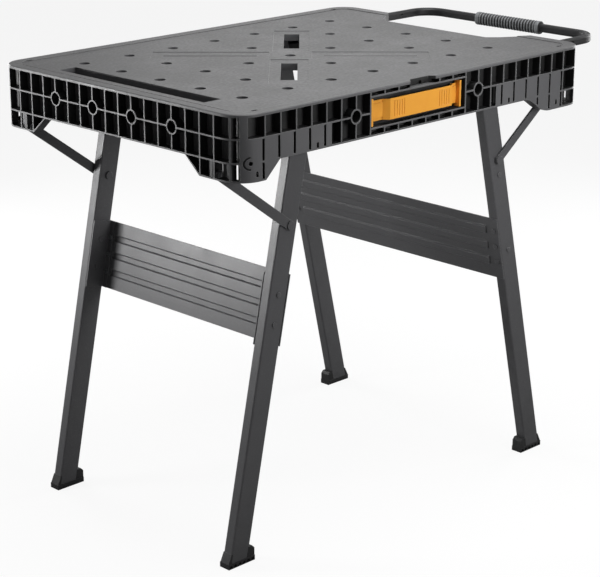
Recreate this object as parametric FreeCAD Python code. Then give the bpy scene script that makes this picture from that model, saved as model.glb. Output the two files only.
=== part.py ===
import FreeCAD, Part
import os
from math import asin, cos, degrees, pi, radians, sin, sqrt, tan
from FreeCAD import Vector

# Folding workbench: a ribbed moulded top on two folding steel leg frames.
# X runs along the long side and +X points to the carry handle.
# The latch faces -Y and Z is up. Each piece is built round the middle of the top, and is then
# moved so that the origin lies on the floor under the middle of the whole bench.
# All lengths are in millimetres and all angles in degrees.

# Cuts run past what they cut by the overrun. An edge lies along an axis when its direction has
# at least this share along it.
overrun = 1.0
along_share = 0.9
half_turn = 180.0

# Worktop, overall
top_length = 850.0
top_width = 600.0
top_height = 775.0
corner_radius = 42.0
deck_thickness = 5.0
deck_edge_chamfer = 1.2
rim_width = 23.0
rim_step = 1.0
skirt_depth = 77.5
corner_skirt_depth = 106.0
middle_rib_drop = 39.0
bay_depth = 16.0
wall_thickness = 3.0
rib_thickness = 2.6

# Outer ribs of the skirt
end_rib_count = 18
end_rib_margin = 25.45
end_ring_ribs = (4, 7, 10, 13)
side_rib_count = 23
side_rib_margin = 57.6
side_rib_shift = 4.2
side_ring_ribs = (6, 15)
ring_outer_radius = 12.5
ring_inner_radius = 10.0

# Corner skirts that hang below the rest of the skirt
end_corner_bottom = 208.5
end_corner_top = 176.0
left_corner_bottom = 55.0
left_corner_top = 85.0
right_corner_bottom = 98.0
right_corner_top = 162.0
corner_post_turns = (45.0, 62.0)
wave_points = 10
wave_skew = 0.8

# Flush cover plates between the lower ribs of the long sides
cover_thickness = 3.0
cover_gap = 5.0
left_cover_end = 198.0
right_cover_start = 248.0
right_cover_end = 62.0
mark_width = 5.0
mark_height = 9.0
mark_rise = 5.0
low_mark_bay_shares = ((-1, 0.44), (side_rib_count - 2, 0.42))
high_mark_bay_shares = ((3, 0.33), (17, 0.42))
hook_hole_radius = 3.5
hook_groove_radius = 11.0
hook_groove_width = 3.0
hook_groove_depth = 1.5
hook_inset = 26.0

# Latch window in the front skirt
window_first_rib = 7
window_last_rib = 14
window_margin = 14.0
scoop_width = 66.0
scoop_depth = 10.0
scoop_shift = 9.0

# Hole pattern of the deck
dog_radius = 9.6
dog_columns = 7
dog_rows = 5
dog_margin_x = 125.6
dog_margin_y = 104.0
pattern_shift = 22.0
dog_boss_wall = 3.5
arm_length = 205.0
arm_width = 66.0
arm_depth = 0.8
arm_turn = 45.0
slot_length = 142.0
slot_width = 28.0
slot_rim = 3.0
slot_rim_depth = 9.0
groove_length = 163.0
groove_width = 8.0
groove_depth = 2.4

# Screw tray beside the left end
tray_margin = 119.0
tray_width = 35.0
tray_depth = 16.0
tray_inset = 37.0
tray_wall = 2.5

# Fine groove along the left end of the deck
end_line_inset = 19.0
end_line_width = 1.6
end_line_depth = 1.0

# Hand notch in the right end
notch_depth = 70.0
notch_mouth = 356.0
notch_bottom = 290.0
notch_corner = 18.0

# Small oval drain slots in the rim corners and stiffening ribs below the deck
drain_length = 13.0
drain_width = 5.0
drain_inset_x = 50.0
drain_inset_y = 20.0
drain_round_share = 0.49
deck_rib_depth = 4.0
deck_rib_thickness = 3.0

# Leg tubes and their fold
leg_depth = 39.0
leg_thickness = 20.0
leg_wall = 2.0
leg_corner = 3.0
leg_inner_corner = 0.5
leg_head = 14.0
left_lean = 11.8
right_lean = 13.0
left_leg_inset = 63.0
right_leg_inset = 35.0
left_brace_joint_inset = 164.5
left_brace_joint_drop = 212.0
right_brace_joint_inset = 196.0
right_brace_joint_drop = 185.0
left_pivot_drop = 75.0
right_pivot_drop = 42.0
folded_droop = 0.5

# Feet
foot_height = 25.0
foot_band = 9.0
foot_pad = 6.0
foot_side = 1.0
foot_back = 2.5
foot_front = 16.5
foot_lug_height = 27.0
foot_lug_round = 5.0
foot_pocket_count = 6
foot_pocket_share = 0.55
foot_pocket_depth = 3.0
foot_pocket_edge = 1.5

# Braces
brace_width = 16.0
brace_thickness = 4.0
brace_gap = 0.3
left_brace_length = 187.5
left_brace_slope = 36.1
right_brace_length = 147.0
right_brace_slope = 36.5
brace_bolt_radius = 4.0
brace_bolt_head_radius = 7.5
brace_bolt_head = 2.0
brace_nut_radius = 7.0
brace_nut = 4.0
running_fit = 0.05
stub_radius = 5.0
stub_tail_radius = 4.0
brace_slot_room = 20.8
brace_slot_side = 4.0
stub_clearance = 0.3
left_stub_length = 9.0
right_stub_length = 10.0

# Saddles that the upper brace ends rest in
saddle_width = 21.0
saddle_thickness = 7.0
saddle_gap = 0.7
saddle_mouth_turn = 45.0

# Cross panels, their angle brackets and rivets
panel_height = 120.0
panel_thickness = 2.0
panel_drop = 354.5
bead_pitch = 31.0
bead_width = 12.0
bead_height = 2.6
bead_slope = 2.4
left_bead_margin = 14.0
right_bead_margin = 7.0
right_bead_rise = 4.5
bracket_thickness = 2.0
bracket_flange = 13.0
rivet_radius = 2.4
rivet_head_radius = 4.4
rivet_head = 1.6
left_side_rivet_drops = (255.0, 305.0)
right_side_rivet_drops = (176.0, 326.0)

# Slides at the leg heads
rod_radius = 5.0
rod_head_radius = 7.5
rod_head = 1.5
bush_wall = 2.0
bush_length = 6.0
bush_play = 0.3
rail_thickness = 3.0
rail_flange = 18.0
rail_end_margin = 8.0
channel_end_margin = 12.0
channel_wall = 2.0
channel_height = 22.0
block_length = 22.0
block_width = 5.7
block_play = 0.3
rail_screw_radius = 2.5
rail_screw_head_radius = 4.6
rail_screw_head = 3.0
rail_screw_count = 3

# Carry handle and its sleeves
handle_reach = 161.0
handle_width = 438.0
handle_thickness = 12.0
handle_height = 16.0
handle_corner = 5.0
handle_wall = 1.6
handle_bend = 44.0
handle_drop = 17.5
sleeve_length = 54.0
sleeve_wall = 2.4
sleeve_play = 0.1
sleeve_ear = 10.0
sleeve_ear_thickness = 2.0
sleeve_screw_head = 1.5
arm_end_margin = 10.0
arm_hole_radius = 3.0
arm_hole_reach = 71.6
stop_pin_radius = 2.5
stop_pin_inner_side = 3.0
stop_pin_outer_side = 2.5
stop_pin_margin = 5.0
grip_length = 158.0
grip_wall = 3.0
grip_rib_count = 20
grip_rib = 1.6
grip_rib_width = 3.5
grip_collar = 9.0

# Latch, its shanks and the two release bars
latch_strap = 3.0
latch_grip_height = 34.0
latch_tab_height = 24.0
latch_flange_height = 45.0
latch_flange_thickness = 4.0
latch_flange_depth = 13.0
latch_flange_play = 0.5
latch_tab_length = 30.0
latch_neck = 12.0
latch_bow = 9.0
latch_side_play = 1.0
latch_right_gap = 10.2
latch_groove_count = 5
latch_groove_pitch = 6.0
latch_groove_width = 2.0
latch_groove_depth = 0.8
latch_groove_margin = 9.0
latch_groove_end = 4.0
latch_proud = 1.0
latch_travel = 8.0
shank_radius = 4.0
shank_head_radius = 7.0
shank_head = 3.0
bar_height = 16.0
bar_thickness = 3.0
bar_length = 84.0
bar_hole_play = 0.4
shank_end_play = 0.5
guide_height = 22.0
guide_length = 12.0
guide_distance = 46.2
guide_web = 2.0
guide_play = 0.2

# Places that follow from the sizes above
half_length = top_length / 2
half_width = top_width / 2
deck_under = top_height - deck_thickness
field_top = top_height - rim_step
skirt_bottom = top_height - skirt_depth
corner_bottom = top_height - corner_skirt_depth
middle_rib_z = top_height - middle_rib_drop
wall_outer_x = half_length - bay_depth
wall_outer_y = half_width - bay_depth
wall_inner_x = wall_outer_x - wall_thickness
wall_inner_y = wall_outer_y - wall_thickness
deck_rib_bottom = deck_under - deck_rib_depth
left_inner = half_width - left_leg_inset - leg_thickness
right_inner = half_width - right_leg_inset - leg_thickness
left_outer = left_inner + leg_thickness
dog_pitch_x = (top_length - 2 * dog_margin_x) / (dog_columns - 1)
dog_pitch_y = (top_width - 2 * dog_margin_y) / (dog_rows - 1)
end_rib_pitch = (top_width - 2 * end_rib_margin) / (end_rib_count - 1)
side_rib_pitch = (top_length - 2 * side_rib_margin) / (side_rib_count - 1)
first_side_rib_x = side_rib_margin - half_length - side_rib_shift
half_depth = leg_depth / 2


def box(x0, x1, y0, y1, z0, z1):
    """A box between two corners."""
    return Part.makeBox(x1 - x0, y1 - y0, z1 - z0, Vector(x0, y0, z0))


def side_box(x0, x1, side, near, far, z0, z1):
    """A box whose distance from the middle plane runs from near to far on one side."""
    y0, y1 = sorted((side * near, side * far))
    return box(x0, x1, y0, y1, z0, z1)


def rod_y(x, z, radius, side, near, far):
    """A round bar along Y on one side, from near to far."""
    y0, y1 = sorted((side * near, side * far))
    return Part.makeCylinder(radius, y1 - y0, Vector(x, y0, z), Vector(0, 1, 0))


def rod_z(x, y, radius, z0, z1):
    """An upright round bar."""
    return Part.makeCylinder(radius, z1 - z0, Vector(x, y, z0), Vector(0, 0, 1))


def prism(points, direction):
    """A straight prism on a closed outline."""
    outline = Part.makePolygon(points + [points[0]])
    return Part.Face(outline).extrude(direction)


def plan_prism(points, z0, z1):
    """An outline in plan, given as X and Y, between two heights."""
    return prism([Vector(x, y, z0) for x, y in points], Vector(0, 0, z1 - z0))


def side_prism(points, side, near, far):
    """An outline given as X and Z, from near to far on one side."""
    y0, y1 = sorted((side * near, side * far))
    return prism([Vector(x, y0, z) for x, z in points], Vector(0, y1 - y0, 0))


def end_prism(points, x0, x1):
    """An outline given as Y and Z between two X places."""
    return prism([Vector(x0, y, z) for y, z in points], Vector(x1 - x0, 0, 0))


def join(shapes):
    """All shapes fused into one, with their seams removed."""
    whole = shapes[0].multiFuse(shapes[1:]) if len(shapes) > 1 else shapes[0]
    return whole.removeSplitter()


def rounded_box(x0, x1, y0, y1, z0, z1, radius):
    """A box with its four upright edges rounded."""
    solid = box(x0, x1, y0, y1, z0, z1)
    upright = [e for e in solid.Edges if abs(e.tangentAt(e.FirstParameter).z) > along_share]
    return solid.makeFillet(radius, upright) if radius > 0 else solid


def plan_block(inset, z0, z1):
    """The plan of the top, taken in by an inset all round."""
    radius = max(corner_radius - inset, 0)
    return rounded_box(inset - half_length, half_length - inset,
                       inset - half_width, half_width - inset, z0, z1, radius)


def ring_block(outer_inset, inner_inset, z0, z1):
    """A frame that follows the plan of the top between two insets."""
    inner = plan_block(inner_inset, z0 - overrun, z1 + overrun)
    return plan_block(outer_inset, z0, z1).cut(inner)


def end_rib_places():
    """The Y places of the ribs on the short ends."""
    first = end_rib_margin - half_width
    return [first + i * end_rib_pitch for i in range(end_rib_count)]


def side_rib_places():
    """The X places of the ribs on the long sides."""
    return [first_side_rib_x + i * side_rib_pitch for i in range(side_rib_count)]


def window_range():
    """Left and right X limits of the latch window."""
    places = side_rib_places()
    return (places[window_first_rib] + rib_thickness / 2,
            places[window_last_rib] - rib_thickness / 2)


def ribs_between(z0, z1):
    """All upright outer ribs between two heights."""
    half = rib_thickness / 2
    ribs = []
    for end in (-1, 1):
        x0, x1 = sorted((end * wall_outer_x, end * half_length))
        for y in end_rib_places():
            ribs.append(box(x0, x1, y - half, y + half, z0, z1))
    for side in (-1, 1):
        for x in side_rib_places():
            ribs.append(side_box(x - half, x + half, side, wall_outer_y, half_width, z0, z1))
    outline = plan_block(0, z0, z1)
    return [rib.common(outline) for rib in ribs]


def arc_x(turn):
    """X on the rounded corner, with the turn counted from the short end."""
    return half_length - corner_radius * (1 - cos(radians(turn)))


def corner_posts(z0, z1):
    """Curved posts that close part of each rounded corner, each with a web back to the wall."""
    shell = ring_block(0, wall_thickness, z0, z1)
    web = ring_block(0, bay_depth + wall_thickness, z0, z1)
    start = half_width - corner_radius
    near, far = arc_x(corner_post_turns[1]), arc_x(corner_post_turns[0])
    posts = []
    for end in (-1, 1):
        for ring, stop in ((shell, far), (web, near + rib_thickness)):
            x0, x1 = sorted((end * near, end * stop))
            for side in (-1, 1):
                posts.append(ring.common(side_box(x0, x1, side, start, half_width, z0, z1)))
    return posts


def end_corner_outline(side, shrink):
    """Outline in Y and Z of a corner skirt seen on a short end."""
    low = corner_bottom + shrink
    return [(side * (half_width + overrun), skirt_bottom + overrun),
            (side * (half_width + overrun), low),
            (side * (end_corner_bottom + shrink / 2), low),
            (side * (end_corner_top + shrink), skirt_bottom),
            (side * (end_corner_top + shrink), skirt_bottom + overrun)]


def left_corner_outline(shrink):
    """Outline in X and Z of a left corner skirt seen on a long side."""
    low = corner_bottom + shrink
    edge = -half_length - overrun
    return [(edge, skirt_bottom + overrun),
            (edge, low),
            (left_corner_bottom - half_length - shrink / 2, low),
            (left_corner_top - half_length - shrink, skirt_bottom),
            (left_corner_top - half_length - shrink, skirt_bottom + overrun)]


def right_corner_outline(shrink):
    """Outline in X and Z of a right corner skirt, which runs down in a wave."""
    low = corner_bottom + shrink
    edge = half_length + overrun
    start = half_length - right_corner_top + shrink
    run = right_corner_top - right_corner_bottom
    drop = skirt_bottom - low
    points = [(edge, skirt_bottom + overrun), (edge, low)]
    for i in range(wave_points + 1):
        share = 1 - i / wave_points
        fall = (1 - cos(pi * share ** wave_skew)) / 2
        points.append((start + run * share, skirt_bottom - drop * fall))
    points.append((start, skirt_bottom + overrun))
    return points


def corner_zone(shrink):
    """The space of the four corner skirts."""
    zones = []
    depth = bay_depth + wall_thickness
    for side in (-1, 1):
        for end in (-1, 1):
            x0, x1 = sorted((end * (half_length - depth), end * (half_length + overrun)))
            zones.append(end_prism(end_corner_outline(side, shrink), x0, x1))
        for outline in (left_corner_outline(shrink), right_corner_outline(shrink)):
            zones.append(side_prism(outline, side, half_width - depth, half_width + overrun))
    return join(zones)


def corner_skirts():
    """The corner skirts: wall, ribs, rounded posts and a flange along their lower edge."""
    zone = corner_zone(0)
    inner_zone = corner_zone(rib_thickness)
    frame = ring_block(0, bay_depth + wall_thickness, corner_bottom, skirt_bottom)
    flange = frame.common(zone).cut(inner_zone)
    wall = ring_block(bay_depth, bay_depth + wall_thickness, corner_bottom, skirt_bottom)
    upright = join(ribs_between(corner_bottom, skirt_bottom)
                   + corner_posts(corner_bottom, skirt_bottom))
    return [flange, wall.common(zone), upright.common(zone)]


def cover_spans():
    """X ranges of the flush cover plates, one to a bay and with a gap beside the next rib."""
    half = rib_thickness / 2
    left_end = left_cover_end - half_length
    right_start = half_length - right_cover_start
    right_end = half_length - right_cover_end
    spans = []
    for i, x in enumerate(side_rib_places()[:-1]):
        start = x + half
        stop = x + side_rib_pitch - half - cover_gap
        if stop < left_end or start < left_end:
            spans.append((start, min(stop, left_end)))
        elif start < right_start < stop:
            spans.append((right_start, stop))
        elif right_start < start and stop < right_end + half:
            spans.append((start, stop))
    return [span for span in spans if span[1] - span[0] > cover_gap]


def cover_plates():
    """Flush plates that close the lower bays of the long sides over the slide tracks."""
    plates = []
    row_top = middle_rib_z - rib_thickness / 2
    zone = corner_zone(0)
    for side in (-1, 1):
        near = half_width - cover_thickness
        for start, stop in cover_spans():
            plates.append(side_box(start, stop, side, near, half_width, skirt_bottom, row_top))
            low = side_box(start, stop, side, near, half_width, corner_bottom, skirt_bottom)
            low = low.common(zone)
            if low.Solids:
                plates.append(low)
        last = side_rib_places()[0] - rib_thickness / 2 - cover_gap
        corner = side_box(-arc_x(corner_post_turns[0]), last, side, wall_inner_y, half_width,
                          corner_bottom, row_top)
        plates.append(corner.common(ring_block(0, cover_thickness, corner_bottom, row_top)))
    return plates


def skirt_rings():
    """Round hollow bosses on the middle rib."""
    outer, inner = [], []
    for end in (-1, 1):
        for i in end_ring_ribs:
            start = Vector(min(end * wall_outer_x, end * half_length), end_rib_places()[i],
                           middle_rib_z)
            outer.append(Part.makeCylinder(ring_outer_radius, bay_depth, start, Vector(1, 0, 0)))
            inner.append(Part.makeCylinder(ring_inner_radius, bay_depth, start, Vector(1, 0, 0)))
    for side in (-1, 1):
        for i in side_ring_ribs:
            x = side_rib_places()[i]
            outer.append(rod_y(x, middle_rib_z, ring_outer_radius, side, wall_outer_y, half_width))
            inner.append(rod_y(x, middle_rib_z, ring_inner_radius, side, wall_outer_y,
                               half_width + overrun))
    return outer, inner


def notch_outline(grow):
    """Plan outline of the hand notch, made larger by grow."""
    mouth = notch_mouth / 2 + grow
    bottom = notch_bottom / 2 + grow
    root = half_length - notch_depth - grow
    edge = half_length + overrun
    return [(edge, -mouth), (edge, mouth), (root + notch_corner, bottom), (root, bottom - notch_corner),
            (root, notch_corner - bottom), (root + notch_corner, -bottom)]


def dog_places():
    """Plan places of the round bench dog holes, less the four that the diagonal arms take."""
    places = []
    for column in range(dog_columns):
        for row in range(dog_rows):
            dx = column - (dog_columns - 1) // 2
            dy = row - (dog_rows - 1) // 2
            if abs(dx) == 1 and abs(dy) == 1:
                continue
            places.append((dx * dog_pitch_x - pattern_shift, dy * dog_pitch_y))
    return places


def arm_box(dx, dy, length, width, z0, z1):
    """A box turned along the diagonal arm that lies at one of the four inner grid places."""
    centre = Vector(dx * dog_pitch_x - pattern_shift, dy * dog_pitch_y, 0)
    solid = box(-length / 2, length / 2, -width / 2, width / 2, z0, z1)
    solid.rotate(Vector(0, 0, 0), Vector(0, 0, 1), arm_turn if dx * dy > 0 else -arm_turn)
    solid.translate(centre)
    return solid


def groove(dx, dy):
    """A shallow V groove for round stock, along one arm."""
    half = groove_width / 2
    top = field_top - arm_depth
    points = [Vector(-groove_length / 2, -half, top), Vector(-groove_length / 2, half, top),
              Vector(-groove_length / 2, 0, top - groove_depth)]
    solid = prism(points, Vector(groove_length, 0, 0))
    solid.rotate(Vector(0, 0, 0), Vector(0, 0, 1), arm_turn if dx * dy > 0 else -arm_turn)
    solid.translate(Vector(dx * dog_pitch_x - pattern_shift, dy * dog_pitch_y, 0))
    return solid


def deck():
    """The deck plate with its ribs, bosses, holes, slots and grooves."""
    plate = plan_block(0, deck_under, top_height)
    rim = [e for e in plate.Edges
           if all(abs(v.Z - top_height) < deck_edge_chamfer for v in e.Vertexes)]
    plate = plate.makeChamfer(deck_edge_chamfer, rim)
    plate = plate.cut(plan_block(rim_width, field_top, top_height + overrun))
    solids = [plate]
    half = deck_rib_thickness / 2
    for row in range(dog_rows + 1):
        y = (row - dog_rows / 2) * dog_pitch_y
        solids.append(box(-wall_outer_x, wall_outer_x, y - half, y + half, deck_rib_bottom,
                          deck_under))
    for column in range(dog_columns + 1):
        x = (column - dog_columns / 2) * dog_pitch_x - pattern_shift
        solids.append(box(x - half, x + half, -wall_outer_y, wall_outer_y, deck_rib_bottom,
                          deck_under))
    for x, y in dog_places():
        solids.append(rod_z(x, y, dog_radius + dog_boss_wall, deck_rib_bottom, deck_under))
    for sign in (-1, 1):
        solids.append(arm_box(sign, sign, slot_length + 2 * slot_rim, slot_width + 2 * slot_rim,
                              deck_under - slot_rim_depth, deck_under))
    whole = join(solids)
    cuts = [rod_z(x, y, dog_radius, deck_rib_bottom - overrun, top_height + overrun)
            for x, y in dog_places()]
    for sign in (-1, 1):
        cuts.append(arm_box(sign, sign, arm_length, arm_width, field_top - arm_depth, top_height))
        cuts.append(arm_box(sign, -sign, arm_length, arm_width, field_top - arm_depth, top_height))
        cuts.append(arm_box(sign, sign, slot_length, slot_width,
                            deck_under - slot_rim_depth - overrun, top_height))
        cuts.append(groove(sign, -sign))
    for end in (-1, 1):
        for side in (-1, 1):
            x = end * (half_length - drain_inset_x)
            y = side * (half_width - drain_inset_y)
            cuts.append(rounded_box(x - drain_length / 2, x + drain_length / 2,
                                    y - drain_width / 2, y + drain_width / 2,
                                    deck_under - overrun, top_height + overrun,
                                    drain_width * drain_round_share))
    return whole.cut(Part.makeCompound(cuts))


def tray_box(grow, z0, z1):
    """The space of the screw tray, made larger by grow."""
    x0 = tray_inset - half_length
    reach = half_width - tray_margin
    return box(x0 - grow, x0 + tray_width + grow, -reach - grow, reach + grow, z0, z1)


def end_line():
    """The space of the fine groove that runs beside the left end between its corners."""
    x0 = end_line_inset - half_length
    reach = half_width - corner_radius
    return box(x0, x0 + end_line_width, -reach, reach, top_height - end_line_depth,
               top_height + overrun)


def skirt():
    """The perimeter wall with its outer ribs, flanges, posts, cover plates and rings."""
    half = rib_thickness / 2
    solids = [ring_block(bay_depth, bay_depth + wall_thickness, skirt_bottom, deck_under)]
    solids += ribs_between(skirt_bottom, deck_under)
    solids += corner_posts(skirt_bottom, deck_under)
    solids.append(ring_block(0, bay_depth, skirt_bottom, skirt_bottom + rib_thickness))
    solids.append(ring_block(0, bay_depth, middle_rib_z - half, middle_rib_z + half))
    solids += corner_skirts()
    solids += cover_plates()
    outer, inner = skirt_rings()
    whole = join(solids + outer)
    return whole.cut(Part.makeCompound(inner))


def window_cut():
    """The space of the latch window and of the slots for the latch shanks."""
    left, right = window_range()
    low = skirt_bottom + window_margin
    high = top_height - window_margin
    cuts = [side_box(left, right, -1, wall_outer_y, half_width + overrun, low, high)]
    for x in shank_places():
        cuts.append(rod_y(x, middle_rib_z, shank_radius + running_fit, -1,
                          wall_inner_y - overrun, wall_outer_y + overrun))
    return cuts


def window_frame():
    """Thin shelves above and below the latch window."""
    left, right = window_range()
    low = skirt_bottom + window_margin
    high = top_height - window_margin
    return [side_box(left, right, -1, wall_outer_y, half_width, low - rib_thickness, low),
            side_box(left, right, -1, wall_outer_y, half_width, high, high + rib_thickness)]


def scoop():
    """A shallow finger scoop in the deck edge above the latch."""
    left, right = window_range()
    centre = (left + right) / 2 + scoop_shift
    half = scoop_width / 2
    edge = -half_width - overrun
    root = scoop_depth - half_width
    return plan_prism([(centre - half, edge), (centre + half, edge),
                       (centre + half - scoop_depth, root), (centre - half + scoop_depth, root)],
                      top_height - window_margin + rib_thickness, top_height + overrun)


def mark_x(bay, share):
    """X at a share of the way across a bay of the long side, with the bays counted from its left rib."""
    return first_side_rib_x + (bay + share) * side_rib_pitch


def side_marks():
    """Small notches at the foot of some cover plates, and the hooked groove by the left corner."""
    cuts = []
    low_marks = [mark_x(bay, share) for bay, share in low_mark_bay_shares]
    high_marks = [mark_x(bay, share) for bay, share in high_mark_bay_shares]
    for side in (-1, 1):
        for x in low_marks:
            z = corner_bottom + rib_thickness + mark_rise
            cuts.append(side_box(x, x + mark_width, side, half_width - cover_thickness - overrun,
                                 half_width + overrun, z, z + mark_height))
        for x in high_marks:
            z = skirt_bottom + rib_thickness
            cuts.append(side_box(x, x + mark_width, side, half_width - cover_thickness - overrun,
                                 half_width + overrun, z, z + mark_height))
        x = hook_inset - half_length
        z = skirt_bottom + rib_thickness / 2
        cuts.append(rod_y(x, z, hook_hole_radius, side, wall_outer_y, half_width + overrun))
        groove_ring = rod_y(x, z, hook_groove_radius, side, wall_outer_y, half_width + overrun)
        groove_ring = groove_ring.common(ring_block(-overrun, hook_groove_depth,
                                                    z - hook_groove_radius, z + hook_groove_radius))
        groove_ring = groove_ring.cut(rod_y(x, z, hook_groove_radius - hook_groove_width, side,
                                            half_width - bay_depth, half_width + overrun))
        open_side = side_box(x, x + hook_groove_radius, side, half_width - bay_depth,
                             half_width + overrun, z - hook_groove_radius, z + hook_groove_radius)
        cuts.append(groove_ring.cut(open_side))
    return cuts


def brace_slots():
    """Openings in the left wall that the upper brace ends reach through."""
    x, z = upper_brace_end("left")
    near = stub_range("left")[0] - brace_slot_side
    far = brace_near("left") + brace_thickness + brace_slot_side
    return [side_box(-half_length + rib_thickness, x + brace_slot_room, side, near, far,
                     corner_bottom - overrun, skirt_bottom) for side in (-1, 1)]


def handle_openings():
    """Holes through the right end for the handle arms."""
    near = handle_arm_y() - handle_thickness / 2 - sleeve_wall
    far = handle_arm_y() + handle_thickness / 2 + sleeve_wall
    low = top_height - handle_drop - handle_height / 2 - sleeve_wall
    high = top_height - handle_drop + handle_height / 2 + sleeve_wall
    return [side_box(wall_inner_x - corner_radius, half_length + overrun, side, near, far, low,
                     high) for side in (-1, 1)]


def worktop():
    """The whole moulded top."""
    notch_wall = plan_prism(notch_outline(wall_thickness), middle_rib_z, deck_under)
    inside = plan_block(rib_thickness, middle_rib_z - overrun, top_height)
    tray_bottom = top_height - tray_depth - tray_wall
    solids = [deck(), skirt(), notch_wall.common(inside),
              tray_box(tray_wall, tray_bottom, deck_under)]
    solids += rail_bosses()
    whole = join(solids)
    cuts = [plan_prism(notch_outline(0), middle_rib_z, top_height + overrun),
            tray_box(0, top_height - tray_depth, top_height + overrun),
            end_line(), scoop()]
    cuts += window_cut() + side_marks() + brace_slots() + handle_openings() + rail_screw_holes()
    whole = whole.cut(Part.makeCompound(cuts))
    return join([whole] + window_frame() + window_ribs())


def window_ribs():
    """Short ribs in the narrow rows above and below the latch window."""
    half = rib_thickness / 2
    low = skirt_bottom + window_margin
    ribs = []
    for x in side_rib_places()[window_first_rib + 1:window_last_rib]:
        ribs.append(side_box(x - half, x + half, -1, wall_outer_y, half_width - rib_thickness,
                             skirt_bottom, low))
    return ribs


def frame_side(name):
    """-1 for the left frame and +1 for the right one."""
    return -1 if name == "left" else 1


def frame_lean(name):
    """How far the legs of a frame lean out of the vertical."""
    return left_lean if name == "left" else right_lean


def leg_inner(name):
    """Distance of a leg's inner face from the middle plane."""
    return left_inner if name == "left" else right_inner


def brace_joint(name):
    """X and Z of the bolt that joins a brace to its leg."""
    if name == "left":
        return left_brace_joint_inset - half_length, top_height - left_brace_joint_drop
    return half_length - right_brace_joint_inset, top_height - right_brace_joint_drop


def pivot(name):
    """X and Z of the slide pin at the head of a leg, which lies on the leg's centre line."""
    x, z = brace_joint(name)
    drop = left_pivot_drop if name == "left" else right_pivot_drop
    rise = top_height - drop - z
    return x - frame_side(name) * rise * tan(radians(frame_lean(name))), top_height - drop


def joint_reach(name):
    """Distance along the leg from the slide pin to the brace bolt."""
    return (pivot(name)[1] - brace_joint(name)[1]) / cos(radians(frame_lean(name)))


def brace_length(name):
    """Distance between the two pins of a brace."""
    return left_brace_length if name == "left" else right_brace_length


def upper_brace_end(name):
    """X and Z of the pin at the upper end of a brace."""
    x, z = brace_joint(name)
    slope = radians(left_brace_slope if name == "left" else right_brace_slope)
    reach = brace_length(name)
    return x + frame_side(name) * reach * cos(slope), z + reach * sin(slope)


def folded_pivot_x(name):
    """X of the slide pin once the legs are folded, with their feet drooping a little."""
    x, z = upper_brace_end(name)
    droop = radians(folded_droop)
    rise = pivot(name)[1] - joint_reach(name) * sin(droop) - z
    across = sqrt(brace_length(name) ** 2 - rise ** 2)
    return x + frame_side(name) * (joint_reach(name) * cos(droop) - across)


def lean_over(solid, name):
    """Turns a piece built upright below the slide pin into place on its leg frame."""
    placed = solid.copy()
    placed.rotate(Vector(0, 0, 0), Vector(0, 1, 0), -frame_side(name) * frame_lean(name))
    x, z = pivot(name)
    placed.translate(Vector(x, 0, z))
    return placed


def leg_box(name, v0, v1, side, near, far, u0, u1):
    """A box on a leg: v points to the middle of the bench and u runs down the leg."""
    inward = -frame_side(name)
    x0, x1 = sorted((inward * v0, inward * v1))
    return lean_over(side_box(x0, x1, side, near, far, -u1, -u0), name)


def leg_pin(name, v, u, radius, side, near, far):
    """A round bar along Y at a place on a leg."""
    return lean_over(rod_y(-frame_side(name) * v, -u, radius, side, near, far), name)


def leg_block(name, side, shrink, u0, u1):
    """The leg's outer or inner form as a solid bar with rounded long edges."""
    inner = leg_inner(name) + shrink
    outer = leg_inner(name) + leg_thickness - shrink
    y0, y1 = sorted((side * inner, side * outer))
    radius = max(leg_corner - shrink, leg_inner_corner)
    solid = rounded_box(shrink - half_depth, half_depth - shrink, y0, y1, -u1, -u0, radius)
    return lean_over(solid, name)


def leg_length(name):
    """Distance along the leg from the slide pin to the floor."""
    return pivot(name)[1] / cos(radians(frame_lean(name)))


def below_leg(name):
    """Everything under the level where the leg stands in its foot."""
    return box(-top_length, top_length, -top_width, top_width, -top_height, foot_pad)


def leg(name, side):
    """One leg tube with the holes for its slide pin, brace bolt and side rivets."""
    length = leg_length(name) + leg_depth
    tube = leg_block(name, side, 0, -leg_head, length)
    tube = tube.cut(leg_block(name, side, leg_wall, -leg_head - overrun, length + overrun))
    near = leg_inner(name) - overrun
    far = leg_inner(name) + leg_thickness + overrun
    cuts = [below_leg(name),
            leg_pin(name, 0, 0, rod_radius + running_fit, side, near, far),
            leg_pin(name, 0, joint_reach(name), brace_bolt_radius, side, near, far)]
    for u in side_rivet_places(name):
        cuts.append(leg_pin(name, 0, u, rivet_radius, side, near, far))
    if name == "right":
        for u in panel_rivet_places(name):
            cuts.append(panel_pin(name, u, side, half_depth - leg_wall - overrun,
                                  half_depth + overrun, rivet_radius))
    return tube.cut(Part.makeCompound(cuts))


def foot_ends(name):
    """X of the outer and the inner end of a foot on the floor, and the lean over a unit rise."""
    slope = frame_side(name) * tan(radians(frame_lean(name)))
    toe_x = pivot(name)[0] + pivot(name)[1] * slope
    half = half_depth / cos(radians(frame_lean(name)))
    out = frame_side(name)
    return toe_x + out * (half + foot_back), toe_x - out * (half + foot_front), slope


def foot_pockets(name, side):
    """Small pockets along the outer side of a foot's pad."""
    start, stop = foot_ends(name)[:2]
    pitch = (stop - start) / foot_pocket_count
    far = leg_inner(name) + leg_thickness + foot_side
    pockets = []
    for i in range(foot_pocket_count):
        x = start + i * pitch + pitch * (1 - foot_pocket_share) / 2
        x0, x1 = sorted((x, x + pitch * foot_pocket_share))
        pockets.append(side_box(x0, x1, side, far - foot_pocket_depth, far + overrun,
                                foot_pocket_edge, foot_pad))
    return pockets


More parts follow.
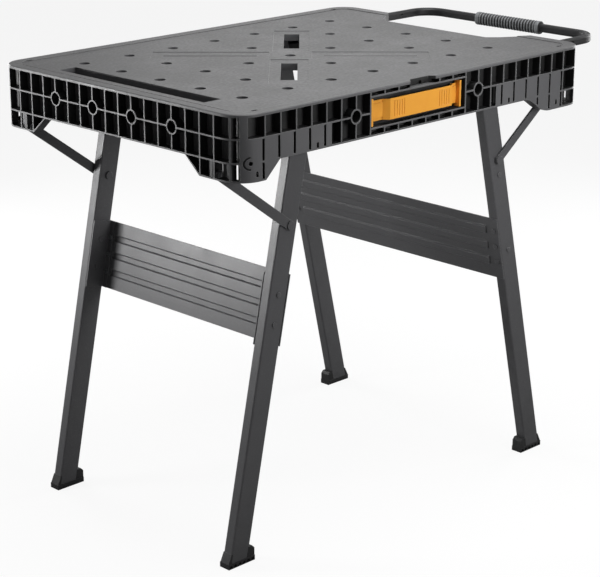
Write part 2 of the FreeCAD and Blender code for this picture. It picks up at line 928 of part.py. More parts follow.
def foot(name, side):
    """A plastic foot: a pad with a low band round the leg end, a toe and a tall inner lug."""
    back, front, slope = foot_ends(name)
    out = frame_side(name)
    inner, outer = leg_inner(name), leg_inner(name) + leg_thickness
    band = side_prism([(back, 0), (front, 0), (front, foot_band), (back, foot_band)], side,
                      inner - foot_side, outer + foot_side)
    toe_top = back - out * foot_back - slope * foot_height
    inside = front + out * foot_front
    toe = side_prism([(back, 0), (back, foot_band), (toe_top, foot_height), (inside, foot_height),
                      (inside, 0)], side, inner, outer)
    round_x = front + out * foot_lug_round
    lug = side_prism([(inside, 0), (front, 0), (front, foot_lug_height - foot_lug_round),
                      (round_x, foot_lug_height), (inside, foot_lug_height)], side, inner, outer)
    body = join([band, toe, lug])
    leg = leg_block(name, side, 0, 0, leg_length(name) + leg_depth).cut(below_leg(name))
    return body.cut(Part.makeCompound([leg] + foot_pockets(name, side)))


def panel_u(name):
    """Distance down the leg to the middle of the cross panel."""
    lean = radians(frame_lean(name))
    below = pivot(name)[1] - (top_height - panel_drop)
    return (below - half_depth * sin(lean)) / cos(lean)


def bead_places(name):
    """Distances down the leg of the three beads of a cross panel."""
    rise = right_bead_rise if name == "right" else 0
    return [panel_u(name) - rise + i * bead_pitch for i in (-1, 0, 1)]


def bead(name, half_span, grow, base, height):
    """One raised bead as a prism along Y."""
    inward = -frame_side(name)
    solids = []
    for u in bead_places(name):
        half = bead_width / 2 + grow
        points = [Vector(inward * base, -half_span, -u - half - bead_slope),
                  Vector(inward * (base + height), -half_span, -u - half),
                  Vector(inward * (base + height), -half_span, -u + half),
                  Vector(inward * base, -half_span, -u + half + bead_slope)]
        solids.append(lean_over(prism(points, Vector(0, 2 * half_span, 0)), name))
    return solids


def cross_panel(name):
    """The pressed sheet that ties the two legs of a frame, with three beads."""
    span = leg_inner(name) + leg_thickness
    half_span = leg_inner(name) - (left_bead_margin if name == "left" else right_bead_margin)
    u = panel_u(name)
    half = panel_height / 2
    sheet = leg_box(name, half_depth, half_depth + panel_thickness, 1, -span, span, u - half,
                    u + half)
    outer = bead(name, half_span, 0, half_depth + panel_thickness, bead_height)
    inner = bead(name, half_span - panel_thickness, -panel_thickness, half_depth, bead_height)
    cuts = [Part.makeCompound(inner)]
    for side in (-1, 1):
        for place in panel_rivet_places(name):
            cuts.append(panel_pin(name, place, side, half_depth - overrun,
                                  half_depth + panel_thickness + bead_height, rivet_radius))
    return join([sheet] + outer).cut(Part.makeCompound(cuts))


def panel_rivet_y(name):
    """Rivets of the left panel go into its brackets, and those of the right one into the legs."""
    if name == "left":
        return left_inner - (bracket_flange + bracket_thickness) / 2
    return right_inner + leg_thickness / 2


def panel_pin(name, u, side, v0, v1, radius):
    """A round bar across the cross panel near one leg."""
    inward = -frame_side(name)
    x0, x1 = sorted((inward * v0, inward * v1))
    y = side * panel_rivet_y(name)
    bar = Part.makeCylinder(radius, x1 - x0, Vector(x0, y, -u), Vector(1, 0, 0))
    return lean_over(bar, name)


def panel_rivet_places(name):
    """Distances down the leg of the rivets at each end of a cross panel."""
    return bead_places(name)


def side_rivet_places(name):
    """Distances down the leg of the rivets through the leg's sides."""
    return left_side_rivet_drops if name == "left" else right_side_rivet_drops


def panel_bracket(side):
    """An angle bracket between a left leg's inner side and the back of the cross panel."""
    name = "left"
    u = panel_u(name)
    half = panel_height / 2
    face = leg_inner(name)
    plate = leg_box(name, -half_depth, half_depth, side, face - bracket_thickness, face,
                    u - half, u + half)
    flange = leg_box(name, half_depth - bracket_thickness, half_depth, side,
                     face - bracket_flange, face, u - half, u + half)
    cuts = [leg_pin(name, 0, place, rivet_radius, side, face - bracket_thickness - overrun,
                    face + overrun) for place in side_rivet_places(name)]
    cuts += [panel_pin(name, place, side, half_depth - bracket_thickness - overrun,
                       half_depth + overrun, rivet_radius) for place in panel_rivet_places(name)]
    return join([plate, flange]).cut(Part.makeCompound(cuts))


def panel_rivets(name):
    """Rivets that hold the cross panel to its brackets or its legs."""
    solids = []
    back = half_depth - bracket_thickness
    front = half_depth + panel_thickness
    for side in (-1, 1):
        for u in panel_rivet_places(name):
            solids.append(join([panel_pin(name, u, side, back, front, rivet_radius),
                                panel_pin(name, u, side, back - rivet_head, back, rivet_head_radius),
                                panel_pin(name, u, side, front, front + rivet_head,
                                          rivet_head_radius)]))
    return Part.makeCompound(solids)


def side_rivets(name):
    """Rivets through the sides of the legs, which hold the left frame's brackets."""
    solids = []
    near = leg_inner(name) - (bracket_thickness if name == "left" else 0)
    far = leg_inner(name) + leg_thickness
    for side in (-1, 1):
        for u in side_rivet_places(name):
            solids.append(join([leg_pin(name, 0, u, rivet_radius, side, near, far),
                                leg_pin(name, 0, u, rivet_head_radius, side, near - rivet_head, near),
                                leg_pin(name, 0, u, rivet_head_radius, side, far,
                                        far + rivet_head)]))
    return Part.makeCompound(solids)


def brace_bar(name, side, near, far, width):
    """A flat bar with round ends between the two pins of a brace."""
    x0, z0 = brace_joint(name)
    x1, z1 = upper_brace_end(name)
    length = brace_length(name)
    y0, y1 = sorted((side * near, side * far))
    bar = box(0, length, y0, y1, -width / 2, width / 2)
    ends = [rod_y(0, 0, width / 2, side, near, far), rod_y(length, 0, width / 2, side, near, far)]
    solid = join([bar] + ends)
    slope = degrees(asin((z1 - z0) / length))
    turn = -slope if name == "right" else slope - half_turn
    solid.rotate(Vector(0, 0, 0), Vector(0, 1, 0), turn)
    solid.translate(Vector(x0, 0, z0))
    return solid


def brace_near(name):
    """Distance of a brace's inner face from the middle plane."""
    return leg_inner(name) + leg_thickness + brace_gap


def brace(name, side):
    """One flat brace with its two pin holes."""
    near = brace_near(name)
    far = near + brace_thickness
    solid = brace_bar(name, side, near, far, brace_width)
    x0, z0 = brace_joint(name)
    x1, z1 = upper_brace_end(name)
    holes = [rod_y(x0, z0, brace_bolt_radius + running_fit, side, near - overrun, far + overrun),
             rod_y(x1, z1, stub_tail_radius, side, near - overrun, far + overrun)]
    return solid.cut(Part.makeCompound(holes))


def brace_bolts(name):
    """The shoulder bolts that join the braces to the legs, each with its nut."""
    x, z = brace_joint(name)
    inner = leg_inner(name)
    outer = brace_near(name) + brace_thickness + brace_gap
    solids = []
    for side in (-1, 1):
        solids.append(join([rod_y(x, z, brace_bolt_radius, side, inner - brace_nut, outer),
                            rod_y(x, z, brace_nut_radius, side, inner - brace_nut, inner),
                            rod_y(x, z, brace_bolt_head_radius, side, outer,
                                  outer + brace_bolt_head)]))
    return Part.makeCompound(solids)


def stub_range(name):
    """How far from the middle plane the brace stub pins reach."""
    near = brace_near(name)
    if name == "left":
        return near - left_stub_length, near
    return near + brace_thickness, near + brace_thickness + right_stub_length


def brace_stubs(name):
    """Stub pins riveted into the upper brace ends."""
    x, z = upper_brace_end(name)
    near = brace_near(name)
    far = near + brace_thickness
    low, high = stub_range(name)
    solids = []
    for side in (-1, 1):
        solids.append(join([rod_y(x, z, stub_radius, side, low, high),
                            rod_y(x, z, stub_tail_radius, side, near, far)]))
    return Part.makeCompound(solids)


def saddle(name, side):
    """An open hook under the skirt that the stub pin of a brace rests in."""
    x, z = upper_brace_end(name)
    out = frame_side(name)
    if name == "left":
        far = brace_near(name) - saddle_gap
        near = far - saddle_thickness
    else:
        near = brace_near(name) + brace_thickness + saddle_gap
        far = wall_inner_y
    back = x + out * saddle_width / 2
    front = x - out * saddle_width / 2
    x0, x1 = sorted((back, front))
    block = side_box(x0, x1, side, near, far, z - stub_radius, skirt_bottom)
    pocket = stub_radius + stub_clearance
    across = pocket * cos(radians(saddle_mouth_turn))
    rise = pocket * sin(radians(saddle_mouth_turn))
    mouth = [(x + out * pocket, z), (x, z), (x - out * across, z + rise),
             (x - out * saddle_width, z - saddle_width + 2 * rise),
             (x - out * saddle_width, z - saddle_width), (x + out * pocket, z - saddle_width)]
    cut = join([rod_y(x, z, pocket, side, near - overrun, far + overrun),
                side_prism(mouth, side, near - overrun, far + overrun)])
    return block.cut(cut)


def slide_rod():
    """The cross rod through the heads of the left legs."""
    x, z = pivot("left")
    span = left_outer + running_fit
    head = span + rod_head
    return join([rod_y(x, z, rod_radius, 1, -span, span),
                 rod_y(x, z, rod_head_radius, 1, span, head),
                 rod_y(x, z, rod_head_radius, -1, span, head)])


def rail_face():
    """Distance of the left rail plate's inner face from the middle plane."""
    return left_inner - (bush_length + rail_thickness) / 2 - bush_play - rail_thickness


def slide_bush(side):
    """A plastic bush on the cross rod that runs in the slot of a left rail."""
    x, z = pivot("left")
    middle = rail_face() + rail_thickness / 2
    near = middle - bush_length / 2
    far = middle + bush_length / 2
    outer = rod_y(x, z, rod_radius + bush_wall, side, near, far)
    return outer.cut(rod_y(x, z, rod_radius, side, near - overrun, far + overrun))


def left_rail(side):
    """A hanging angle plate with the slot that the left legs' cross rod runs in."""
    x0, z = pivot("left")
    x1 = folded_pivot_x("left")
    slot = rod_radius + bush_wall + bush_play
    near = rail_face()
    far = near + rail_thickness
    start = x1 - slot
    stop = x0 + slot
    left = max(start - rail_end_margin, -wall_inner_x)
    right = stop + rail_end_margin
    top = deck_rib_bottom
    plate = side_box(left, right, side, near, far, z - slot - rail_end_margin, top)
    flange = side_box(left, right, side, near, near + rail_flange, top - rail_thickness, top)
    window = join([side_box(x1, x0, side, near - overrun, far + overrun, z - slot, z + slot),
                   rod_y(x0, z, slot, side, near - overrun, far + overrun),
                   rod_y(x1, z, slot, side, near - overrun, far + overrun)])
    solid = join([plate, flange]).cut(window)
    holes = [rod_z(x, y, rail_screw_radius, top - rail_thickness - overrun, top + overrun)
             for x, y in left_rail_screws(side)]
    return solid.cut(Part.makeCompound(holes))


def left_rail_screws(side):
    """Plan places of the screws that hold a left rail."""
    x0 = pivot("left")[0]
    x1 = folded_pivot_x("left")
    y = side * (rail_face() + (rail_flange + rail_thickness) / 2)
    step = (x0 - x1) / rail_screw_count
    return [(x1 + i * step + step / 2, y) for i in range(rail_screw_count)]


def channel_range():
    """Distances of the right rail's inner and outer faces from the middle plane."""
    return wall_inner_y - channel_wall - block_width - block_play, wall_inner_y


def right_rail(side):
    """A channel on the inner wall that the right legs' slide blocks run in."""
    x0, z = pivot("right")
    x1 = folded_pivot_x("right")
    near, far = channel_range()
    left = x0 - block_length / 2 - channel_end_margin
    right = x1 + block_length / 2 + channel_end_margin
    half = channel_height / 2
    outer = side_box(left, right, side, near, far, z - half, z + half)
    hollow = side_box(left - overrun, right + overrun, side, near - overrun, far - channel_wall,
                      z - half + channel_wall, z + half - channel_wall)
    holes = [rod_y(x, zz, rail_screw_radius, side, far - channel_wall - overrun, far + overrun)
             for x, zz in right_rail_screws()]
    return outer.cut(Part.makeCompound([hollow] + holes))


def right_rail_screws():
    """X and Z of the rivets that hold a right rail to the wall, at the ends of its travel."""
    x0, z = pivot("right")
    x1 = folded_pivot_x("right")
    return [(x0 - block_length / 2 - channel_end_margin / 2, z),
            (x1 + block_length / 2 + channel_end_margin / 2, z)]


def slide_block(side):
    """A plastic block that carries a right leg's pin in its rail."""
    x, z = pivot("right")
    near, far = channel_range()
    half = channel_height / 2 - channel_wall - block_play
    block = side_box(x - block_length / 2, x + block_length / 2, side, near, near + block_width,
                     z - half, z + half)
    return block.cut(rod_y(x, z, rod_radius, side, near - overrun, far))


def slide_pins():
    """The pins through the heads of the right legs."""
    x, z = pivot("right")
    near = right_inner - running_fit
    far = channel_range()[0] + block_width
    solids = []
    for side in (-1, 1):
        solids.append(join([rod_y(x, z, rod_radius, side, near, far),
                            rod_y(x, z, rod_head_radius, side, near - rod_head, near)]))
    return Part.makeCompound(solids)


def rail_bosses():
    """Bosses below the deck that the left rails and the handle sleeves are screwed to."""
    solids = []
    for side in (-1, 1):
        for x, y in left_rail_screws(side):
            solids.append(rod_z(x, y, rail_screw_head_radius + rib_thickness, deck_rib_bottom,
                                deck_under))
    return solids


def rail_screw_holes():
    """Screw holes in the moulded top."""
    cuts = []
    for side in (-1, 1):
        for x, y in left_rail_screws(side):
            cuts.append(rod_z(x, y, rail_screw_radius, deck_rib_bottom - overrun,
                              deck_under))
        for x, z in right_rail_screws():
            cuts.append(rod_y(x, z, rail_screw_radius, side, wall_inner_y - overrun,
                              wall_outer_y + overrun))
    return cuts


def rail_screws():
    """Screws and rivets of the four rails."""
    solids = []
    low = deck_rib_bottom - rail_thickness
    for side in (-1, 1):
        for x, y in left_rail_screws(side):
            solids.append(join([rod_z(x, y, rail_screw_radius, low, deck_under),
                                rod_z(x, y, rail_screw_head_radius, low - rail_screw_head, low)]))
        for x, z in right_rail_screws():
            inner = wall_inner_y - channel_wall
            solids.append(join([rod_y(x, z, rail_screw_radius, side, inner, wall_outer_y),
                                rod_y(x, z, rail_screw_head_radius, side, inner - rail_screw_head,
                                      inner)]))
    return Part.makeCompound(solids)


def handle_arm_y():
    """Distance of the handle arms' centre lines from the middle plane."""
    return handle_width / 2 - handle_thickness / 2


def handle_section(grow):
    """Upright section of the handle tube at the inner end of its first arm."""
    half_y = handle_thickness / 2 + grow
    half_z = handle_height / 2 + grow
    x = half_length - notch_depth - arm_end_margin
    solid = box(0, overrun, -half_y, half_y, -half_z, half_z)
    long_edges = [e for e in solid.Edges if abs(e.tangentAt(e.FirstParameter).x) > along_share]
    solid = solid.makeFillet(handle_corner + grow, long_edges)
    face = min(solid.Faces, key=lambda end: end.CenterOfMass.x).copy()
    face.translate(Vector(x, -handle_arm_y(), top_height - handle_drop))
    return face


def handle_path():
    """Centre line of the handle: an arm, a bend, the bar, a bend and an arm."""
    z = top_height - handle_drop
    start = half_length - notch_depth - arm_end_margin
    bar_x = half_length + handle_reach - handle_thickness / 2
    y = handle_arm_y()
    r = handle_bend
    part = r - r / sqrt(2)
    edges = [Part.makeLine(Vector(start, -y, z), Vector(bar_x - r, -y, z)),
             Part.Arc(Vector(bar_x - r, -y, z), Vector(bar_x - part, -y + part, z),
                      Vector(bar_x, -y + r, z)).toShape(),
             Part.makeLine(Vector(bar_x, -y + r, z), Vector(bar_x, y - r, z)),
             Part.Arc(Vector(bar_x, y - r, z), Vector(bar_x - part, y - part, z),
                      Vector(bar_x - r, y, z)).toShape(),
             Part.makeLine(Vector(bar_x - r, y, z), Vector(start, y, z))]
    return Part.Wire(edges)


def carry_handle():
    """The bent flat oval tube of the carry handle."""
    path = handle_path()
    outer = path.makePipe(handle_section(0))
    inner = path.makePipe(handle_section(-handle_wall))
    tube = outer.cut(inner)
    hole_x = half_length + arm_hole_reach
    z = top_height - handle_drop
    cuts = []
    for side in (-1, 1):
        near = handle_width / 2 - handle_thickness - overrun
        far = handle_width / 2 + overrun
        cuts.append(rod_y(hole_x, z, arm_hole_radius, side, near, far))
        cuts.append(rod_y(stop_pin_x(), z, stop_pin_radius, side, near, far))
    return tube.cut(Part.makeCompound(cuts))


def stop_pin_x():
    """X of the stop pins near the inner ends of the handle arms."""
    return half_length - notch_depth - stop_pin_margin


def stop_pins():
    """Pins through the handle arms that stop it at full reach."""
    z = top_height - handle_drop
    near = handle_width / 2 - handle_thickness - stop_pin_inner_side
    far = handle_width / 2 + stop_pin_outer_side
    return Part.makeCompound([rod_y(stop_pin_x(), z, stop_pin_radius, side, near, far)
                              for side in (-1, 1)])


def grip_block(grow, y0, y1):
    """A rounded block round the handle bar between two Y places."""
    bar_x = half_length + handle_reach - handle_thickness / 2
    z = top_height - handle_drop
    half_x = handle_thickness / 2 + grow
    half_z = handle_height / 2 + grow
    solid = box(bar_x - half_x, bar_x + half_x, y0, y1, z - half_z, z + half_z)
    long_edges = [e for e in solid.Edges if abs(e.tangentAt(e.FirstParameter).y) > along_share]
    return solid.makeFillet(handle_corner + grow, long_edges)


def handle_grip():
    """The soft grip on the bar, with ribs all along and a smooth collar at each end."""
    half = grip_length / 2
    solids = [grip_block(grip_wall, -half, half)]
    for sign in (-1, 1):
        y0, y1 = sorted((sign * half, sign * (half - grip_collar)))
        solids.append(grip_block(grip_wall + grip_rib, y0, y1))
    span = 2 * (half - grip_collar)
    pitch = span / grip_rib_count
    for i in range(grip_rib_count):
        y = grip_collar - half + i * pitch + (pitch - grip_rib_width) / 2
        solids.append(grip_block(grip_wall + grip_rib, y, y + grip_rib_width))
    return join(solids).cut(grip_block(0, -half - overrun, half + overrun))


def handle_sleeve(side):
    """A sleeve under the deck that guides one handle arm, with two screwed ears."""
    y = handle_arm_y()
    z = top_height - handle_drop
    half_y = handle_thickness / 2 + sleeve_play
    half_z = handle_height / 2 + sleeve_play
    x0 = stop_pin_x() + stop_pin_radius
    x1 = x0 + sleeve_length
    low = z - half_z - sleeve_wall
    high = deck_under - sleeve_ear_thickness
    body = side_box(x0, x1, side, y - half_y - sleeve_wall, y + half_y + sleeve_wall, low, high)
    ears = side_box(x0, x1, side, y - half_y - sleeve_wall - sleeve_ear,
                    y + half_y + sleeve_wall + sleeve_ear, high, deck_under)
    within = plan_block(bay_depth + wall_thickness, low - overrun, deck_under)
    hollow = box(x0 - overrun, x1 + overrun, side * y - half_y, side * y + half_y,
                 z - half_z, z + half_z)
    long_edges = [e for e in hollow.Edges if abs(e.tangentAt(e.FirstParameter).x) > along_share]
    hollow = hollow.makeFillet(handle_corner, long_edges)
    holes = [rod_z(x, yy, rail_screw_radius, high - overrun, deck_under + overrun)
             for x, yy in sleeve_screw_places(side)]
    return join([body, ears]).common(within).cut(Part.makeCompound([hollow] + holes))


def sleeve_screw_places(side):
    """Plan places of the screws through the sleeve ears."""
    y = handle_arm_y() + handle_thickness / 2 + sleeve_wall + sleeve_ear / 2
    inner_y = handle_arm_y() - handle_thickness / 2 - sleeve_wall - sleeve_ear / 2
    x = stop_pin_x() + stop_pin_radius + sleeve_length / 2
    return [(x, side * y), (x, side * inner_y)]


def sleeve_screws():
    """Screws through the sleeve ears into the deck."""
    solids = []
    low = deck_under - sleeve_ear_thickness
    for side in (-1, 1):
        for x, y in sleeve_screw_places(side):
            solids.append(join([rod_z(x, y, rail_screw_radius, low, deck_under),
                                rod_z(x, y, rail_screw_head_radius, low - sleeve_screw_head,
                                      low)]))
    return Part.makeCompound(solids)


def latch_range():
    """Left and right X limits of the latch."""
    left, right = window_range()
    return left + latch_side_play, right - latch_right_gap


def shank_places():
    """X places of the two latch shanks."""
    left, right = latch_range()
    return (left + latch_flange_thickness + latch_tab_length / 2,
            right - latch_flange_thickness - latch_neck / 2)


def latch_handle():
    """The bowed latch: two upright end plates and a strap that bulges out to a wide grip."""
    left, right = latch_range()
    z = middle_rib_z
    front = half_width + latch_proud
    back = front - latch_bow
    tab_end = left + latch_flange_thickness + latch_tab_length
    neck_end = right - latch_flange_thickness - latch_neck
    outline = [(left, back), (tab_end, back), (tab_end + latch_bow, front),
               (neck_end - latch_bow, front), (neck_end, back), (right, back),
               (right, back - latch_strap), (neck_end - latch_strap / 2, back - latch_strap),
               (neck_end - latch_bow - latch_strap / 2, front - latch_strap),
               (tab_end + latch_bow + latch_strap / 2, front - latch_strap),
               (tab_end + latch_strap / 2, back - latch_strap), (left, back - latch_strap)]
    strap = plan_prism([(x, -y) for x, y in outline], z - latch_grip_height / 2,
                       z + latch_grip_height / 2)
    cuts = []
    for sign in (-1, 1):
        z0, z1 = sorted((z + sign * latch_tab_height / 2, z + sign * latch_grip_height))
        cuts.append(box(left - overrun, tab_end, -front - overrun, overrun - back, z0, z1))
        cuts.append(box(neck_end, right + overrun, -front - overrun, overrun - back, z0, z1))
    strap = strap.cut(Part.makeCompound(cuts))
    plates = []
    for x0 in (left, right - latch_flange_thickness):
        plates.append(side_box(x0, x0 + latch_flange_thickness, -1, half_width - latch_flange_depth,
                               half_width - latch_flange_play, z - latch_flange_height / 2,
                               z + latch_flange_height / 2))
    grooves = []
    for i in range(latch_groove_count):
        for x in (tab_end + latch_bow + latch_groove_margin + i * latch_groove_pitch,
                  neck_end - latch_bow - latch_groove_margin - i * latch_groove_pitch):
            grooves.append(side_box(x, x + latch_groove_width, -1, front - latch_groove_depth,
                                    front + overrun, z - latch_grip_height / 2 + latch_groove_end,
                                    z + latch_grip_height / 2 - latch_groove_end))
    return join([strap] + plates).cut(Part.makeCompound(grooves))


def latch_shanks():
    """Pins behind the latch that pass through the wall, each with a disc on its inner end.

    The disc stands off the release bar by the latch's travel, so that it meets the bar at full pull.
    """
    back = half_width + latch_proud - latch_bow - latch_strap
    inner = bar_face() - bar_thickness - latch_travel - shank_end_play
    solids = []
    for x in shank_places():
        solids.append(join([rod_y(x, middle_rib_z, shank_radius, -1, inner, back),
                            rod_y(x, middle_rib_z, shank_head_radius, -1, inner - shank_head,
                                  inner)]))
    return Part.makeCompound(solids)


def bar_face():
    """Distance of the release bars' outer faces from the middle plane."""
    return wall_inner_y - guide_play


def release_bar(end):
    """A flat bar behind the window that runs from a latch shank towards one leg frame."""
    x = shank_places()[0] if end < 0 else shank_places()[1]
    x0, x1 = sorted((x - end * bar_height, x + end * bar_length))
    z = middle_rib_z
    far = bar_face()
    near = far - bar_thickness
    bar = side_box(x0, x1, -1, near, far, z - bar_height / 2, z + bar_height / 2)
    slot = shank_radius + bar_hole_play
    a, b = sorted((x, x + end * latch_travel))
    hole = join([side_box(a, b, -1, near - overrun, far + overrun, z - slot, z + slot),
                 rod_y(a, z, slot, -1, near - overrun, far + overrun),
                 rod_y(b, z, slot, -1, near - overrun, far + overrun)])
    return bar.cut(hole)


def bar_guide(end):
    """A bridge on the wall that carries the outer part of a release bar."""
    x = shank_places()[0] if end < 0 else shank_places()[1]
    x0, x1 = sorted((x + end * guide_distance, x + end * (guide_distance + guide_length)))
    z = middle_rib_z
    far = wall_inner_y
    near = bar_face() - bar_thickness - guide_play - guide_web
    block = side_box(x0, x1, -1, near, far, z - guide_height / 2, z + guide_height / 2)
    hollow = side_box(x0 - overrun, x1 + overrun, -1, near + guide_web, far + overrun,
                      z - bar_height / 2 - guide_play, z + bar_height / 2 + guide_play)
    return block.cut(hollow)


def build_parts():
    """Every piece of the workbench by name."""
    parts = {"worktop": worktop()}
    for side, word in ((-1, "front"), (1, "back")):
        parts["left_rail_" + word] = left_rail(side)
        parts["right_rail_" + word] = right_rail(side)
        parts["panel_bracket_" + word] = panel_bracket(side)
        parts["handle_sleeve_" + word] = handle_sleeve(side)
        parts["left_slide_bush_" + word] = slide_bush(side)
        parts["right_slide_block_" + word] = slide_block(side)
        for name in ("left", "right"):
            parts[name + "_leg_" + word] = leg(name, side)
            parts[name + "_foot_" + word] = foot(name, side)
            parts[name + "_brace_" + word] = brace(name, side)
            parts[name + "_saddle_" + word] = saddle(name, side)
    for name in ("left", "right"):
        parts[name + "_cross_panel"] = cross_panel(name)
        parts[name + "_panel_rivets"] = panel_rivets(name)
        parts[name + "_side_rivets"] = side_rivets(name)
        parts[name + "_brace_bolts"] = brace_bolts(name)
        parts[name + "_brace_stubs"] = brace_stubs(name)
    parts["left_slide_rod"] = slide_rod()
    parts["right_slide_pins"] = slide_pins()
    parts["rail_screws"] = rail_screws()
    parts["carry_handle"] = carry_handle()
    parts["handle_grip"] = handle_grip()
    parts["handle_stop_pins"] = stop_pins()
    parts["sleeve_screws"] = sleeve_screws()
    parts["latch_handle"] = latch_handle()
    parts["latch_shanks"] = latch_shanks()
    for end, word in ((-1, "left"), (1, "right")):
        parts["release_bar_" + word] = release_bar(end)
        parts["release_bar_guide_" + word] = bar_guide(end)
    return parts


def main():
    os.makedirs("parts", exist_ok=True)
    handle_overhang = handle_reach + grip_wall + grip_rib
    to_middle = Vector(-handle_overhang / 2, latch_proud / 2, 0)
    for node, shape in build_parts().items():
        shape.translate(to_middle)
        shape.exportStep("parts/" + node + ".step")
        print(node, len(shape.Solids), shape.isValid(), round(shape.Volume))


main()
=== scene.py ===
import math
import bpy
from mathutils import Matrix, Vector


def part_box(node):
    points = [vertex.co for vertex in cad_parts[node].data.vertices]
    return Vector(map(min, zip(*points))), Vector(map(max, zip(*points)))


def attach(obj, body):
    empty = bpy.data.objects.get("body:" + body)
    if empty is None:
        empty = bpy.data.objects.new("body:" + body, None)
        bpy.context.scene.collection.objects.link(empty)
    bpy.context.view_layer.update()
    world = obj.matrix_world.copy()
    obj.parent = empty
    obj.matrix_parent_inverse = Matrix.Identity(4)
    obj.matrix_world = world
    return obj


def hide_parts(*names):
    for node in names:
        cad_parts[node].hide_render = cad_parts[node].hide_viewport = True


bl_info = {
    "name": "Folding workbench",
    "version": (1, 0, 0),
    "blender": (4, 5, 0),
    "location": "3D View > Sidebar > Workbench",
    "description": "Dresses a folding workbench with its finishes, its ribbed grip and a studio",
    "category": "Object",
}

import bpy
import numpy as np
from mathutils import Vector

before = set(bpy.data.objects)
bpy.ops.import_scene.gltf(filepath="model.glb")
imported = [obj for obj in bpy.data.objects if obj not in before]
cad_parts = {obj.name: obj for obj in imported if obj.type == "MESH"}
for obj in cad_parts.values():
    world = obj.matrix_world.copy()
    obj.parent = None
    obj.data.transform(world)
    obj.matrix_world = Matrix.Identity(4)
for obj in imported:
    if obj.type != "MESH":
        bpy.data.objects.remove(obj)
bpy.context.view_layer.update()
MM = 0.001
WHITE = (1.0, 1.0, 1.0, 1.0)


# Colours, properties and nodes

def linear(code):
    """Linear red, green, blue and alpha of an sRGB hex colour such as #303030."""
    parts = [int(code[i:i + 2], 16) / 255 for i in (1, 3, 5)]
    curve = [c / 12.92 if c <= 0.04045 else ((c + 0.055) / 1.055) ** 2.4 for c in parts]
    return (*curve, 1.0)


def colour(code, name, description):
    """A colour property whose default is an sRGB hex colour."""
    return bpy.props.FloatVectorProperty(name=name, description=description, subtype="COLOR",
                                         size=4, min=0.0, max=1.0, default=linear(code))


def length(value, name, description):
    """A length property with its default in millimetres."""
    return bpy.props.FloatProperty(name=name, description=description, subtype="DISTANCE",
                                   unit="LENGTH", default=value * MM)


def share(value, name, description):
    """A property from 0 to 1."""
    return bpy.props.FloatProperty(name=name, description=description, subtype="FACTOR",
                                   min=0.0, max=1.0, default=value)


def angle(value, name, description):
    """An angle property with its default in degrees."""
    return bpy.props.FloatProperty(name=name, description=description, subtype="ANGLE",
                                   default=math.radians(value))


def add(tree, kind, inputs=None, **settings):
    """Adds a node with its settings and links, and returns it.

    An input takes a constant, an output socket, or a node, whose first live output it reads.
    """
    made = tree.nodes.new("ShaderNode" + kind)
    for key, value in settings.items():
        setattr(made, key, value)
    for key, value in (inputs or {}).items():
        if isinstance(value, bpy.types.Node):
            value = next(socket for socket in value.outputs if socket.enabled)
        if isinstance(value, bpy.types.NodeSocket):
            tree.links.new(value, made.inputs[key])
        else:
            made.inputs[key].default_value = value
    return made


def new_material(name):
    """A material with an empty node tree, and that tree."""
    material = bpy.data.materials.new(name)
    material.use_nodes = True
    material.node_tree.nodes.clear()
    return material, material.node_tree


def dress(names, material):
    """Gives every CAD node of a list the same material."""
    for name in names:
        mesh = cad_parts[name].data
        mesh.materials.clear()
        mesh.materials.append(material)


def both(pattern, words=("front", "back")):
    """Node names with each word put into a pattern."""
    return [pattern % word for word in words]


# Sizes and colours that a user would change

class WorkbenchFinish(bpy.types.PropertyGroup):
    # Painted light: the deck colour paints the upward faces of the top lighter, as if lit from
    # above; the real scuffs and dust are laid over it.
    deck: colour("#474748", "Deck", "Scuffed upper face of the moulded top")
    # Painted highlight: the outer rib edges and the flush covers are painted lighter than the
    # plastic.
    skin: colour("#5E5E60", "Skirt edges", "Outer edges of the ribs and the flush covers")
    # Painted shade: the bays of the long sides are painted near black.
    bays: colour("#141415", "Side bays", "Recesses between the ribs of the long sides")
    # Painted light: the walls inside the top are painted lighter than the plastic, to make up for
    # the weak light they get.
    inner: colour("#505052", "Inner walls", "Unscuffed walls of the tray, the holes and the slots")
    # Painted light: the back walls of the end bays are painted lighter, as if lit, not dusty.
    end_bays: colour("#5E5E60", "End bays", "Dusty back walls of the bays of the two ends")
    coat: colour("#5C5C5E", "Leg coat", "Powder coat of the legs, panels and braces")
    bar: colour("#111112", "Handle coat", "Satin coat of the carry handle")
    # Pale on the rib tops only; the grooves are near black, set by the rib height.
    grip: colour("#7A7C7E", "Grip ribs", "Rubbed rib tops of the carry grip")
    foot: colour("#2A2A2B", "Feet", "Plastic of the feet")
    latch: colour("#F0A83E", "Latch", "Plastic of the latch")
    slide: colour("#2A2A2C", "Slides", "Plastic of sleeves, bushes, blocks and saddles")
    zinc: colour("#B9BBBD", "Zinc", "Bright plated pins, screws and panel rivets")
    rail: colour("#2C2D30", "Rails", "Dark steel of the rails")


class WorkbenchSizes(bpy.types.PropertyGroup):
    top_length: length(850.0, "Top length", "Long side of the moulded top")
    top_width: length(600.0, "Top width", "Short side of the moulded top")
    top_corner: length(42.0, "Top corner", "Radius of the top's corners seen from above")
    tray_depth: length(16.0, "Tray depth", "Depth of the screw tray below the rim")
    arm_floor: length(1.8, "Cross floor", "Depth of the cross's flat floor below the rim")
    grip_rib_pitch: length(7.0, "Grip rib pitch", "Distance between the ribs of the carry grip")
    grip_rib_height: length(1.9, "Grip rib height", "Height of a grip rib above its groove")
    grip_collar: length(9.0, "Grip collar", "Length of the smooth collar at each end of the grip")
    tube_width: length(12.0, "Handle tube width", "Handle tube seen from above")
    tube_height: length(16.0, "Handle tube height", "Handle tube seen from the side")
    tube_corner: length(5.0, "Handle tube corner", "Radius of the handle tube's corners")


